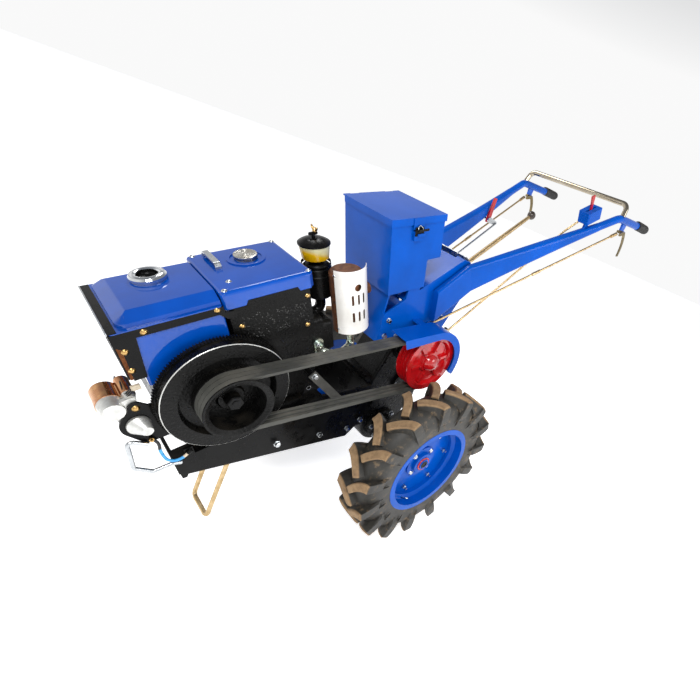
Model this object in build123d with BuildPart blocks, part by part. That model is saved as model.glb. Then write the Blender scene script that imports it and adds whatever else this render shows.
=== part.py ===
"""Walking tractor: a two-wheeled tractor with a tilted single-cylinder engine.

Frame: +X to the rear, +Y to the right-hand side, +Z up, millimetres.
The axle stands at x = 0 and the floor is z = 0; everything is moved at the end
so that the origin lies on the floor under the middle of the machine.
The engine with its tank and radiator leans nose down, so its pieces are drawn
level about the crankshaft and then placed with ENGINE; the toolbox likewise.
"""
from build123d import *
from math import atan2, asin, cos, degrees, hypot, pi, radians, sin, tan
import os

os.makedirs("parts", exist_ok=True)

# ---------------------------------------------------------------- driving sizes
TYRE_RADIUS = 296.0
TYRE_WIDTH = 144.0
TYRE_WALL = 12.0
WHEEL_Y = 325.0               # centre plane of each wheel
RIM_RADIUS = 173.0            # over the flanges
RIM_WIDTH = 118.0
FLANGE = 3.0                  # sheet of the rim
DISC_THICK = 6.0
HUB_RADIUS = 62.0
AXLE_RADIUS = 20.0
AXLE_TUBE_RADIUS = 36.0

ENGINE_X = -605.0             # crankshaft
ENGINE_Z = 557.0
ENGINE_TILT = 19.7            # nose down
ENGINE_MID = 10.0             # middle of the engine across the machine
ENGINE_BASE = 161.0           # crankshaft to mounting face

FRAME_BOTTOM = 300.0
FRAME_HALF = 128.0            # middle of the frame to the outside of a side plate
PLATE = 8.0

FLYWHEEL_RADIUS = 147.0
RING_RADIUS = 150.0
FLYWHEEL_FACE = 155.0         # outer face, to the left of the middle plane
FLYWHEEL_THICK = 36.0
ENGINE_PULLEY = 76.0          # groove radius where the belts run
CLUTCH_PULLEY = 101.0
CLUTCH_X = 12.0
CLUTCH_Z = 632.0
BELT_COUNT = 3
BELT_PITCH = 16.0
BELT_TOP = 15.0
BELT_HEIGHT = 10.0
BELT_MID = 182.0              # middle belt, to the left of the middle plane
BELT_GAP = 0.4                # belt to groove

TOOLBOX_TILT = 16.0
TOOLBOX_HALF = 117.0
TOOLBOX_LENGTH = 197.0
TOOLBOX_HEIGHT = 222.0
TOOLBOX_WALL = 3.0
LID_HEIGHT = 16.0
LID_GAP = 0.6
LID_SHEET = 4.0

BAR_HALF = 268.0              # grips to the middle plane
BAR_TUBE = 16.0
BAR_TOP = 1308.0
GRIP_END = 1125.0
GRIP_LENGTH = 120.0
FOOT_X = 150.0
FOOT_Y = 122.0
FOOT_Z = 918.0

STAND_ROD = 7.0               # radius
STAND_WIDTH = 110.0
STAND_X = -505.0
STAND_Z = 328.0
STAND_LEAN = 10.0
CLEAR = 6.0                   # between moving and fixed pieces
FIT = 0.4                     # radial clearance of a pin or shaft in its hole

FRONT_X = -838.0              # foremost point, on the radiator cover
MACHINE = Location((-(FRONT_X + GRIP_END) / 2, 0, 0))
DRAWN = MACHINE.inverse()     # back to the axes the pieces are drawn in
ENGINE_LEVEL = Location((ENGINE_X, 0, ENGINE_Z), (0, -ENGINE_TILT, 0))
ENGINE = MACHINE * ENGINE_LEVEL
TOOLBOX_LEVEL = Location((0, 0, TYRE_RADIUS), (0, -TOOLBOX_TILT, 0))
TOOLBOX = MACHINE * TOOLBOX_LEVEL


def left(distance):
    """Upright plane that many millimetres to the left; sketches are drawn in x and z."""
    return Plane.XZ.offset(distance)


# ------------------------------------------------------------------- the wheels
RIM_SEAT = RIM_RADIUS - 16.0
HOUSING_END = 254.0           # outer end of the axle housing, from the middle
SHAFT_IN = 24.0
for side, name in ((-1, "left"), (1, "right")):
    centre = side * WHEEL_Y

    with BuildPart() as tyre:
        with BuildSketch(Plane.YZ) as section:
            with BuildLine():
                half = TYRE_WIDTH / 2
                crown = TYRE_RADIUS
                bead = RIM_WIDTH / 2 - FLANGE
                over = RIM_RADIUS + 1
                Polyline((-bead + 14, RIM_SEAT), (-bead, RIM_SEAT), (-bead, over))
                Spline((-bead, over), (-half + 3, crown - 74), (-half + 9, crown - 20),
                       (-half + 16, crown - 6), tangents=((-0.9, 0.8), (1, 0.7)))
                ThreePointArc((-half + 16, crown - 6), (0, crown), (half - 16, crown - 6))
                Spline((half - 16, crown - 6), (half - 9, crown - 20), (half - 3, crown - 74),
                       (bead, over), tangents=((1, -0.7), (-0.9, -0.8)))
                Polyline((bead, over), (bead, RIM_SEAT), (bead - 14, RIM_SEAT))
                inner = half - TYRE_WALL
                Spline((bead - 14, RIM_SEAT), (inner, crown - 74), (inner - 16, crown - TYRE_WALL - 12),
                       tangents=((0.3, 1), (-1, 0.5)))
                ThreePointArc((inner - 16, crown - TYRE_WALL - 12), (0, crown - TYRE_WALL - 5),
                              (16 - inner, crown - TYRE_WALL - 12))
                Spline((16 - inner, crown - TYRE_WALL - 12), (-inner, crown - 74), (14 - bead, RIM_SEAT),
                       tangents=((-1, -0.5), (0.3, -1)))
            make_face()
        revolve(axis=Axis.Y)
    tyre.part.locate(MACHINE * Location((0, centre, TYRE_RADIUS)))
    tyre.part.label = f"tyre_{name}"
    export_step(tyre.part, f"parts/tyre_{name}.step")

    # one-piece rim: flanges, well and dished disc with its hub
    with BuildPart() as rim:
        with BuildSketch(Plane.YZ) as section:
            with BuildLine():
                w = RIM_WIDTH / 2
                Polyline((-w, RIM_RADIUS), (-w + FLANGE, RIM_RADIUS), (-w + FLANGE, RIM_SEAT),
                         (-24, RIM_SEAT), (-16, RIM_SEAT - 14), (16, RIM_SEAT - 14),
                         (24, RIM_SEAT), (w - FLANGE, RIM_SEAT), (w - FLANGE, RIM_RADIUS),
                         (w, RIM_RADIUS), (w, RIM_SEAT - 4), (26, RIM_SEAT - 4),
                         (18, RIM_SEAT - 18), (-18, RIM_SEAT - 18), (-26, RIM_SEAT - 4),
                         (-w, RIM_SEAT - 4), close=True)
            make_face()
            with Locations((0, (RIM_SEAT - 18 + HUB_RADIUS) / 2)):
                Rectangle(DISC_THICK, RIM_SEAT - 14 - HUB_RADIUS + 4)
            with BuildLine():
                Polyline((-20, AXLE_RADIUS - 4), (-20, HUB_RADIUS - 22), (-9, HUB_RADIUS - 18),
                         (-9, HUB_RADIUS), (9, HUB_RADIUS), (9, AXLE_RADIUS - 4), close=True)
            make_face()
        revolve(axis=Axis.Y)
        # half shaft, from inside the housing to the hub nut
        with BuildSketch(left(HOUSING_END - SHAFT_IN - WHEEL_Y)):
            Circle(AXLE_RADIUS)
        extrude(amount=WHEEL_Y + 26 - HOUSING_END + SHAFT_IN)
    rim.part.locate(MACHINE * Location((0, centre, TYRE_RADIUS), (0, 0, 0 if side < 0 else 180)))
    rim.part.label = f"rim_{name}"
    export_step(rim.part, f"parts/rim_{name}.step")

    with BuildPart() as housing:
        with BuildSketch(Plane.XZ.offset(84)):
            Circle(AXLE_TUBE_RADIUS + 26)
        extrude(amount=14)
        with BuildSketch(Plane.XZ.offset(98)):
            Circle(AXLE_TUBE_RADIUS + 6)
        extrude(amount=130, taper=2)
        with BuildSketch(Plane.XZ.offset(228)):
            Circle(AXLE_TUBE_RADIUS + 8)
        extrude(amount=HOUSING_END - 228)
        with BuildSketch(Plane.XZ.offset(HOUSING_END - SHAFT_IN - 2)):
            Circle(AXLE_RADIUS + FIT)
        extrude(amount=SHAFT_IN + 2, mode=Mode.SUBTRACT)
    housing.part.locate(MACHINE * Location((0, 0, TYRE_RADIUS), (0, 0, 0 if side < 0 else 180)))
    housing.part.label = f"axle_housing_{name}"
    export_step(housing.part, f"parts/axle_housing_{name}.step")

# -------------------------------------------------------------------- the gearbox
GEARBOX_HALF = 80.0
LEVER_X0 = 70.0               # foot of the gear lever
LEVER_SOCKET = 712.0
GEARBOX_LOBES = ((0, TYRE_RADIUS, 84), (CLUTCH_X, CLUTCH_Z, 64), (62, 440, 82), (-58, 430, 62))
with BuildPart() as gearbox:
    with BuildSketch(Plane.XZ):
        for x, z, radius in GEARBOX_LOBES:
            with Locations((x, z)):
                Circle(radius)
        make_hull()
    extrude(amount=GEARBOX_HALF, both=True)
    fillet(gearbox.edges().group_by(Axis.Y)[0] + gearbox.edges().group_by(Axis.Y)[-1], 10)
    # front flange that the side plates bolt to
    with BuildSketch(Plane.YZ.offset(-130)):
        with Locations((0, 425)):
            RectangleRounded(150, 170, 12)
    extrude(amount=30)
    # bosses round the layshafts on both sides
    with BuildSketch(Plane.XZ.offset(-GEARBOX_HALF - 8)):
        for x, z, radius in ((48, 470, 44), (-42, 400, 34)):
            with Locations((x, z)):
                Circle(radius)
    extrude(amount=2 * GEARBOX_HALF + 16)
    # socket of the gear lever
    with BuildSketch(Plane.XY.offset(CLUTCH_Z)):
        with Locations((LEVER_X0, 0)):
            Circle(13)
    extrude(amount=LEVER_SOCKET - CLUTCH_Z)
gearbox.part.locate(MACHINE)
gearbox.part.label = "gearbox"
export_step(gearbox.part, "parts/gearbox.step")

ARM_END = (164.0, 703.0)
with BuildPart() as clutch_housing:
    with BuildSketch(left(GEARBOX_HALF)):
        with Locations((CLUTCH_X, CLUTCH_Z)):
            Circle(58)
    extrude(amount=16)
    with BuildSketch(left(GEARBOX_HALF + 16)):
        with Locations((CLUTCH_X, CLUTCH_Z)):
            Circle(48)
    extrude(amount=46, taper=12)
    # release arm, with the pin that its rod hangs on
    with BuildSketch(left(GEARBOX_HALF + 16)):
        with Locations((CLUTCH_X + 24, CLUTCH_Z + 20)):
            Circle(16)
        with Locations(ARM_END):
            Circle(9)
        make_hull()
    extrude(amount=6)
    with BuildSketch(left(GEARBOX_HALF + 22)):
        with Locations(ARM_END):
            Circle(4)
    extrude(amount=4)
clutch_housing.part.locate(MACHINE)
clutch_housing.part.label = "clutch_housing"
export_step(clutch_housing.part, "parts/clutch_housing.step")

HITCH_X = 205.0
HITCH_HOLE = 11.0
with BuildPart() as hitch:
    with BuildSketch(Plane.YZ.offset(142)):
        with Locations((0, 430)):
            RectangleRounded(120, 150, 14)
    extrude(amount=18)
    for z in (385, 461):
        with BuildSketch(Plane.XY.offset(z)):
            with BuildLine():
                Polyline((150, -42), (HITCH_X, -32))
                ThreePointArc((HITCH_X, -32), (HITCH_X + 32, 0), (HITCH_X, 32))
                Polyline((HITCH_X, 32), (150, 42), (150, -42))
            make_face()
            with Locations((HITCH_X, 0)):
                Circle(HITCH_HOLE, mode=Mode.SUBTRACT)
        extrude(amount=16)
    with BuildSketch(Plane.XZ):
        for x, z, radius in GEARBOX_LOBES:
            with Locations((x, z)):
                Circle(radius)
        make_hull()
    extrude(amount=GEARBOX_HALF, both=True, mode=Mode.SUBTRACT)
hitch.part.locate(MACHINE)
hitch.part.label = "hitch_bracket"
export_step(hitch.part, "parts/hitch_bracket.step")

# ------------------------------------------------------------- frame and its stand
FRAME_LEFT = FRAME_HALF - ENGINE_MID      # outer face of the left plate, left of middle
BASE = Plane(ENGINE_LEVEL)                # the engine's own level axes
BASE_FRONT = -160.0                       # mounting face, along the engine
BASE_REAR = 250.0


def engine_point(x, z):
    """A point of the engine's axes in the machine's x and z."""
    point = BASE.from_local_coords(Vector(x, 0, z))
    return (point.X, point.Z)


# starter lead, in the engine's axes: from the terminal on the starter's bracket,
# hanging in a bight to the clip on the left side plate
LEAD_RADIUS = 3.5
LEAD_ROUTE = [Vector(*point) for point in (
    (-174.6, -120.0, -62.0), (-168.0, -122.0, -80.0), (-172.5, -123.5, -101.5),
    (-171.5, -122.5, -121.0), (-169.0, -121.8, -138.5), (-161.5, -121.5, -150.0),
    (-149.5, -121.5, -156.0), (-136.3, -121.5, -155.3), (-124.9, -121.5, -148.7))]


def lead_radii(points):
    """Radius of the arc at each inner point: 0.45 of the shorter run over tan of half the turn."""
    result = []
    for before, here, after in zip(points, points[1:], points[2:]):
        turn = (here - before).get_angle(after - here)
        run = min((here - before).length, (after - here).length)
        result.append(0.45 * run / tan(radians(turn / 2)))
    return result


with BuildPart() as chassis:
    for outer in (-FRAME_LEFT, FRAME_HALF + ENGINE_MID - PLATE):
        with BuildSketch(left(-outer)):
            front = engine_point(BASE_FRONT, -ENGINE_BASE)
            rear = engine_point(BASE_REAR, -ENGINE_BASE)
            with BuildLine():
                Polyline(front, rear, (-130, rear[1] + 12), (-130, 338), (-150, 338),
                         (-182, FRAME_BOTTOM), (front[0] + 38, FRAME_BOTTOM),
                         (front[0] + 36, FRAME_BOTTOM - 10), (front[0] + 26, FRAME_BOTTOM - 12), front)
            make_face()
        extrude(amount=-PLATE)
    # ledges that carry the engine's feet
    for side in (-1, 1):
        with BuildSketch(BASE.offset(-ENGINE_BASE - PLATE)):
            with Locations(((BASE_FRONT + BASE_REAR) / 2, ENGINE_MID + side * (FRAME_HALF - 22))):
                Rectangle(BASE_REAR - BASE_FRONT, 44)
        extrude(amount=PLATE)
    # rear plate against the gearbox, front plate, and the stand's cross rod
    with BuildSketch(Plane.YZ.offset(-140)):
        with Locations((ENGINE_MID, 425)):
            Rectangle(2 * FRAME_HALF, 150)
    extrude(amount=10)
    with BuildSketch(Plane(origin=BASE.from_local_coords(Vector(BASE_FRONT, ENGINE_MID, -ENGINE_BASE - 25)),
                           x_dir=(0, 1, 0), z_dir=BASE.x_dir)):
        Rectangle(2 * FRAME_HALF, 50)
    extrude(amount=PLATE)
    with BuildSketch(left(FRAME_LEFT - 1)):
        with Locations((STAND_X, STAND_Z)):
            Circle(10)
    extrude(amount=-2 * FRAME_HALF + 2)
    # clip of the starter lead: a tab on the left plate and the lug that it ends in
    with BuildSketch(left(FRAME_LEFT)):
        with BuildLine():
            Polyline(*[engine_point(x, z) for x, z in ((-130, -163), (-110, -163), (-110, -136), (-130, -136))],
                     close=True)
        make_face()
    extrude(amount=-PLATE)
    lead_end = BASE.from_local_coords(LEAD_ROUTE[-1])
    with BuildSketch(Plane(origin=lead_end, z_dir=lead_end - BASE.from_local_coords(LEAD_ROUTE[-2]))):
        Circle(LEAD_RADIUS + 1.5)
    extrude(amount=12)
chassis.part.locate(MACHINE)
chassis.part.label = "chassis_frame"
export_step(chassis.part, "parts/chassis_frame.step")

STAND_LEG = (STAND_Z - STAND_ROD) / cos(radians(STAND_LEAN))
with BuildPart() as stand:
    with BuildLine() as path:
        FilletPolyline((0, -STAND_WIDTH / 2, 0), (0, -STAND_WIDTH / 2, -STAND_LEG),
                       (0, STAND_WIDTH / 2, -STAND_LEG), (0, STAND_WIDTH / 2, 0), radius=18)
    with BuildSketch(Plane(origin=path.line @ 0, z_dir=path.line % 0)):
        Circle(STAND_ROD)
    sweep(path=path.line)
    with BuildSketch(left(STAND_WIDTH / 2 + 14)):
        Circle(17)
    extrude(amount=-STAND_WIDTH - 28)
    with BuildSketch(left(STAND_WIDTH / 2 + 14)):
        Circle(10.4)
    extrude(amount=-STAND_WIDTH - 28, mode=Mode.SUBTRACT)
stand.part.locate(MACHINE * Location((STAND_X, ENGINE_MID + 17, STAND_Z), (0, STAND_LEAN, 0)))
stand.part.label = "front_stand"
export_step(stand.part, "parts/front_stand.step")

GUARD_ROD = 5.0
with BuildPart() as guard_rod:
    y = -FRAME_LEFT - GUARD_ROD + 2
    with BuildLine() as path:
        FilletPolyline((-684, y, 350), (-704, y, 352), (-743, y, 340), (-782, y, 362),
                       (-799, y, 446), (-757, y, 428), radius=8)
    with BuildSketch(Plane(origin=path.line @ 0, z_dir=path.line % 0)):
        Circle(GUARD_ROD)
    sweep(path=path.line)
    add(chassis.part.moved(DRAWN), mode=Mode.SUBTRACT)
guard_rod.part.locate(MACHINE)
guard_rod.part.label = "front_guard_rod"
export_step(guard_rod.part, "parts/front_guard_rod.step")

# ---------------------------------------------------------- engine, in its own axes
BLOCK_LEFT = -75.0
BLOCK_RIGHT = 95.0
RADIATOR_FRONT = -164.0
RADIATOR_REAR = 50.0
HEAD_FACE = 258.0
SHROUD_BOTTOM = 70.0
CORE_BOTTOM = 98.0
CRANK_RADIUS = 22.0
FRAME_TOP = 214.0
SIDE_HALF = 118.0             # middle of the engine to the outside of a side frame
SIDE_SHEET = 4.0
HOPPER_TOP = 199.0
TANK_SEAT = ((100, HOPPER_TOP), (106, HOPPER_TOP + 12), (228, HOPPER_TOP + 12), (234, HOPPER_TOP))
with BuildPart() as block:
    with BuildSketch(left(-BLOCK_LEFT)):
        with BuildLine():
            Polyline((-118, -ENGINE_BASE), (208, -ENGINE_BASE), (232, -92), (HEAD_FACE, -84),
                     (HEAD_FACE, 104), (236, 146), (RADIATOR_REAR + 8, 146),
                     (RADIATOR_REAR + 8, SHROUD_BOTTOM), (-126, SHROUD_BOTTOM), (-138, -40),
                     (-118, -ENGINE_BASE))
        make_face()
    extrude(amount=-(BLOCK_RIGHT - BLOCK_LEFT))
    fillet(block.edges().filter_by(Axis.Y), 8)
    # water hopper, with the step that the tank sits on
    with BuildSketch(left(SIDE_HALF - SIDE_SHEET - ENGINE_MID)):
        with BuildLine():
            Polyline((RADIATOR_REAR + 8, 60), (RADIATOR_REAR + 8, HOPPER_TOP), *TANK_SEAT,
                     (HEAD_FACE, HOPPER_TOP), (HEAD_FACE, 60), close=True)
        make_face()
    extrude(amount=-2 * (SIDE_HALF - SIDE_SHEET))
    # feet along the base
    with BuildSketch(Plane.XY.offset(-ENGINE_BASE)):
        with Locations((45, ENGINE_MID)):
            Rectangle(300, 216)
    extrude(amount=14)
    # timing cover on the right, crankshaft boss on the left
    with BuildSketch(left(-BLOCK_RIGHT)):
        with Locations((0, -20), (84, -14)):
            Circle(78)
        make_hull()
    extrude(amount=-24, taper=6)
    with BuildSketch(left(-BLOCK_LEFT)):
        Circle(64)
    extrude(amount=10)
    with BuildSketch(left(-BLOCK_LEFT)):
        Circle(CRANK_RADIUS + FIT)
    extrude(amount=10, mode=Mode.SUBTRACT)
block.part.locate(ENGINE)
block.part.label = "engine_block"
export_step(block.part, "parts/engine_block.step")

with BuildPart() as head:
    with BuildSketch(Plane.YZ.offset(HEAD_FACE)):
        with Locations((ENGINE_MID, 0)):
            RectangleRounded(144, 150, 12)
    extrude(amount=46)
    with BuildSketch(Plane.YZ.offset(HEAD_FACE + 46)):
        with Locations((ENGINE_MID - 28, 0)):
            RectangleRounded(84, 108, 14)
    extrude(amount=30, taper=5)
head.part.locate(ENGINE)
head.part.label = "cylinder_head"
export_step(head.part, "parts/cylinder_head.step")

with BuildPart() as shroud:
    with BuildSketch(Plane.XY.offset(SHROUD_BOTTOM)):
        with Locations(((RADIATOR_FRONT + RADIATOR_REAR) / 2 + 14, ENGINE_MID)):
            RectangleRounded(RADIATOR_REAR - RADIATOR_FRONT - 30, 228, 6)
            RectangleRounded(RADIATOR_REAR - RADIATOR_FRONT - 36, 222, 3, mode=Mode.SUBTRACT)
    extrude(amount=FRAME_TOP - SHROUD_BOTTOM)
    # inward flange that stands on the block
    with BuildSketch(Plane.XY.offset(SHROUD_BOTTOM)):
        with Locations(((RADIATOR_FRONT + RADIATOR_REAR) / 2 + 14, ENGINE_MID)):
            Rectangle(RADIATOR_REAR - RADIATOR_FRONT - 34, 224)
            Rectangle(RADIATOR_REAR - RADIATOR_FRONT - 110, 148, mode=Mode.SUBTRACT)
    extrude(amount=3)
shroud.part.locate(ENGINE)
shroud.part.label = "radiator_shroud"
export_step(shroud.part, "parts/radiator_shroud.step")

GRILLE_SHEET = 3.0
with BuildPart() as core:
    with BuildSketch(Plane.YZ.offset(RADIATOR_FRONT + GRILLE_SHEET)):
        with Locations((ENGINE_MID, (CORE_BOTTOM + FRAME_TOP - 12) / 2)):
            Rectangle(224, FRAME_TOP - 12 - CORE_BOTTOM)
    extrude(amount=29 - GRILLE_SHEET)
core.part.locate(ENGINE)
core.part.label = "radiator_core"
export_step(core.part, "parts/radiator_core.step")

with BuildPart() as grille:
    with BuildSketch(Plane.YZ.offset(RADIATOR_FRONT)):
        middle = (CORE_BOTTOM + FRAME_TOP) / 2
        with Locations((ENGINE_MID, middle)):
            RectangleRounded(226, FRAME_TOP - CORE_BOTTOM, 6)
            RectangleRounded(200, FRAME_TOP - CORE_BOTTOM - 24, 4, mode=Mode.SUBTRACT)
        with Locations([(ENGINE_MID, middle + 16.0 * i) for i in range(-2, 3)]):
            Rectangle(204, 6)
    extrude(amount=GRILLE_SHEET)
grille.part.locate(ENGINE)
grille.part.label = "radiator_grille"
export_step(grille.part, "parts/radiator_grille.step")

for side, name in ((-1, "left"), (1, "right")):
    with BuildPart() as side_frame:
        with BuildSketch(left(-ENGINE_MID - side * SIDE_HALF)):
            with BuildLine():
                # the front edge steps back, so that the core shows beside it
                Polyline((RADIATOR_FRONT + 8, CORE_BOTTOM), (RADIATOR_FRONT + 12, 178),
                         (RADIATOR_FRONT, 186), (RADIATOR_FRONT, FRAME_TOP), (RADIATOR_REAR, FRAME_TOP),
                         (RADIATOR_REAR, HOPPER_TOP), (RADIATOR_REAR + 20, HOPPER_TOP - 3),
                         (RADIATOR_REAR + 20, 182), (RADIATOR_REAR + 4, 180), (RADIATOR_REAR - 12, 196),
                         (-122, 196), (-132, CORE_BOTTOM), close=True)
            make_face()
        extrude(amount=side * SIDE_SHEET)
    side_frame.part.locate(ENGINE)
    side_frame.part.label = f"engine_frame_{name}"
    export_step(side_frame.part, f"parts/engine_frame_{name}.step")

COVER_HALF = 108.0
COVER_SHEET = 2.0
HOOD_FRONT = RADIATOR_FRONT + 18
with BuildPart() as cover:
    # flat edge that lies on the frames
    with BuildSketch(Plane.XY.offset(FRAME_TOP)):
        with Locations(((RADIATOR_FRONT + RADIATOR_REAR) / 2, ENGINE_MID)):
            RectangleRounded(RADIATOR_REAR - RADIATOR_FRONT - 2, 2 * SIDE_HALF, 8)
    extrude(amount=COVER_SHEET)
    # crowned hood, drawn too long and cut flush in front of the tank
    length = RADIATOR_REAR + 60 - HOOD_FRONT
    with BuildSketch(Plane.XY.offset(FRAME_TOP + COVER_SHEET)):
        with Locations((HOOD_FRONT + length / 2, ENGINE_MID)):
            RectangleRounded(length, 2 * COVER_HALF, 22)
    extrude(amount=8, taper=12)
    extrude(cover.faces().sort_by(Axis.Z)[-1], amount=16, taper=58)
    fillet(cover.faces().sort_by(Axis.Z)[-1].edges(), 6)
    split(bisect_by=Plane.YZ.offset(RADIATOR_REAR - 1), keep=Keep.BOTTOM)
cover.part.locate(ENGINE)
cover.part.label = "radiator_cover"
export_step(cover.part, "parts/radiator_cover.step")

FILLER_X = -45.0
FILLER_Y = 46.0
COVER_TOP = FRAME_TOP + COVER_SHEET + 24
with BuildPart() as filler:
    with BuildSketch(Plane.XZ):
        with BuildLine():
            Polyline((0, COVER_TOP), (34, COVER_TOP), (34, COVER_TOP + 3), (37, COVER_TOP + 4),
                     (37, COVER_TOP + 10), (34, COVER_TOP + 14), (24, COVER_TOP + 14), (20, COVER_TOP + 10),
                     (20, COVER_TOP + 2), (0, COVER_TOP + 2), close=True)
        make_face()
    revolve(axis=Axis.Z)
filler.part.locate(ENGINE * Location((FILLER_X, FILLER_Y, 0)))
filler.part.label = "radiator_filler"
export_step(filler.part, "parts/radiator_filler.step")

TANK_FRONT = 52.0
TANK_REAR = 276.0
TANK_TOP = 242.0
TANK_HALF = 113.0
with BuildPart() as tank:
    with BuildSketch(left(TANK_HALF - ENGINE_MID)):
        with BuildLine():
            Polyline((TANK_FRONT, HOPPER_TOP), *TANK_SEAT, (TANK_REAR, HOPPER_TOP),
                     (TANK_REAR, TANK_TOP), (TANK_FRONT, TANK_TOP), close=True)
        make_face()
    extrude(amount=-2 * TANK_HALF)
    upright = tank.edges().filter_by(Axis.Z).group_by(Axis.X)
    chamfer(upright[-1], 13)
    fillet(upright[0], 10)
    fillet(tank.faces().sort_by(Axis.Z)[-1].edges(), 9)
    # raised ring round the filler
    with BuildSketch(Plane.XY.offset(TANK_TOP)):
        with Locations((169, 44)):
            Circle(46)
            Circle(38, mode=Mode.SUBTRACT)
    extrude(amount=3)
tank.part.locate(ENGINE)
tank.part.label = "fuel_tank"
export_step(tank.part, "parts/fuel_tank.step")

with BuildPart() as cap:
    with BuildSketch(Plane.XY.offset(TANK_TOP)):
        with Locations((169, 44)):
            Circle(24)
    extrude(amount=4)
    with BuildSketch(Plane.XY.offset(TANK_TOP + 4)):
        with Locations((169, 44)):
            Circle(28)
    extrude(amount=10)
    fillet(cap.edges().sort_by(Axis.Z)[-1], 3)
cap.part.locate(ENGINE)
cap.part.label = "fuel_cap"
export_step(cap.part, "parts/fuel_cap.step")

with BuildPart() as strap:
    with BuildLine() as path:
        FilletPolyline((94, 18, TANK_TOP), (94, 18, TANK_TOP + 13), (94, 106, TANK_TOP + 13),
                       (94, 106, TANK_TOP), radius=9)
    with BuildSketch(Plane(origin=path.line @ 0, z_dir=path.line % 0)):
        Rectangle(14, 4)
    sweep(path=path.line)
strap.part.locate(ENGINE)
strap.part.label = "tank_handle"
export_step(strap.part, "parts/tank_handle.step")

# air cleaner: oil-bath can, its elbow, clear bowl and lid
AIR_X = 356.0
AIR_Y = 42.0
AIR_BOTTOM = 84.0
with BuildPart() as can:
    with BuildSketch(Plane.XZ):
        with BuildLine():
            Polyline((0, AIR_BOTTOM), (34, AIR_BOTTOM), (42, 92), (42, 150), (44, 152), (44, 158), (42, 160),
                     (42, 178), (30, 190), (20, 192), (20, 198), (0, 198), close=True)
        make_face()
    revolve(axis=Axis.Z)
can.part.locate(ENGINE * Location((AIR_X, AIR_Y, 0)))
can.part.label = "air_cleaner"
export_step(can.part, "parts/air_cleaner.step")

with BuildPart() as can_elbow:
    with BuildLine() as path:
        FilletPolyline((AIR_X, AIR_Y, AIR_BOTTOM), (AIR_X, AIR_Y, 34),
                       (HEAD_FACE + 46, AIR_Y, 34), radius=24)
    with BuildSketch(Plane(origin=path.line @ 0, z_dir=path.line % 0)):
        Circle(15)
    sweep(path=path.line)
can_elbow.part.locate(ENGINE)
can_elbow.part.label = "intake_elbow"
export_step(can_elbow.part, "parts/intake_elbow.step")

CAN_TOP = 198.0
with BuildPart() as bowl:
    with BuildSketch(Plane.XZ):
        with BuildLine():
            Polyline((0, CAN_TOP), (24, CAN_TOP), (38, CAN_TOP + 8), (42, CAN_TOP + 40),
                     (42, CAN_TOP + 48), (0, CAN_TOP + 48), close=True)
        make_face()
    revolve(axis=Axis.Z)
bowl.part.locate(ENGINE * Location((AIR_X, AIR_Y, 0)))
bowl.part.label = "precleaner_bowl"
export_step(bowl.part, "parts/precleaner_bowl.step")

with BuildPart() as lid:
    with BuildSketch(Plane.XZ):
        with BuildLine():
            Line((0, CAN_TOP + 48), (45, CAN_TOP + 48))
            Line((45, CAN_TOP + 48), (45, CAN_TOP + 52))
            ThreePointArc((45, CAN_TOP + 52), (26, CAN_TOP + 62), (5, CAN_TOP + 65))
            Polyline((5, CAN_TOP + 65), (5, CAN_TOP + 76), (0, CAN_TOP + 76), (0, CAN_TOP + 48))
        make_face()
    revolve(axis=Axis.Z)
    with BuildSketch(Plane.XZ.offset(-2)):
        with Locations((0, CAN_TOP + 76)):
            SlotCenterToCenter(18, 9)
    extrude(amount=4)
lid.part.locate(ENGINE * Location((AIR_X, AIR_Y, 0)))
lid.part.label = "precleaner_lid"
export_step(lid.part, "parts/precleaner_lid.step")

# exhaust: pipe from the head, upright silencer and its slotted shield
MUFFLER_X = 399.0
MUFFLER_Y = -47.0
MUFFLER_RADIUS = 49.0
MUFFLER_BOTTOM = -15.0
MUFFLER_TOP = 192.0
PORT_Z = -20.0
with BuildPart() as exhaust:
    with BuildSketch(left(62)):
        with Locations((HEAD_FACE + 23, PORT_Z)):
            SlotCenterToCenter(34, 30, rotation=90)
    extrude(amount=8)
    with BuildLine() as path:
        FilletPolyline((HEAD_FACE + 23, -70, PORT_Z), (HEAD_FACE + 23, -96, PORT_Z),
                       (HEAD_FACE + 70, -96, PORT_Z - 30), (MUFFLER_X, MUFFLER_Y, PORT_Z - 48),
                       (MUFFLER_X, MUFFLER_Y, MUFFLER_BOTTOM), radius=15)
    with BuildSketch(Plane(origin=path.line @ 0, z_dir=path.line % 0)):
        Circle(13)
    sweep(path=path.line)
exhaust.part.locate(ENGINE)
exhaust.part.label = "exhaust_pipe"
export_step(exhaust.part, "parts/exhaust_pipe.step")

with BuildPart() as muffler:
    with BuildSketch(Plane.XZ):
        with BuildLine():
            Polyline((0, MUFFLER_BOTTOM), (18, MUFFLER_BOTTOM), (MUFFLER_RADIUS, MUFFLER_BOTTOM + 16),
                     (MUFFLER_RADIUS, MUFFLER_TOP - 8), (MUFFLER_RADIUS - 6, MUFFLER_TOP),
                     (0, MUFFLER_TOP), close=True)
        make_face()
    revolve(axis=Axis.Z)
    with BuildSketch(Plane.YZ.offset(MUFFLER_RADIUS - 8)):
        with Locations((0, 118)):
            Circle(18)
    extrude(amount=30)
    with BuildSketch(Plane.YZ.offset(MUFFLER_RADIUS + 2)):
        with Locations((0, 118)):
            Circle(15.5)
    extrude(amount=30, mode=Mode.SUBTRACT)
muffler.part.locate(ENGINE * Location((MUFFLER_X, MUFFLER_Y, 0)))
muffler.part.label = "muffler"
export_step(muffler.part, "parts/muffler.step")

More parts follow.
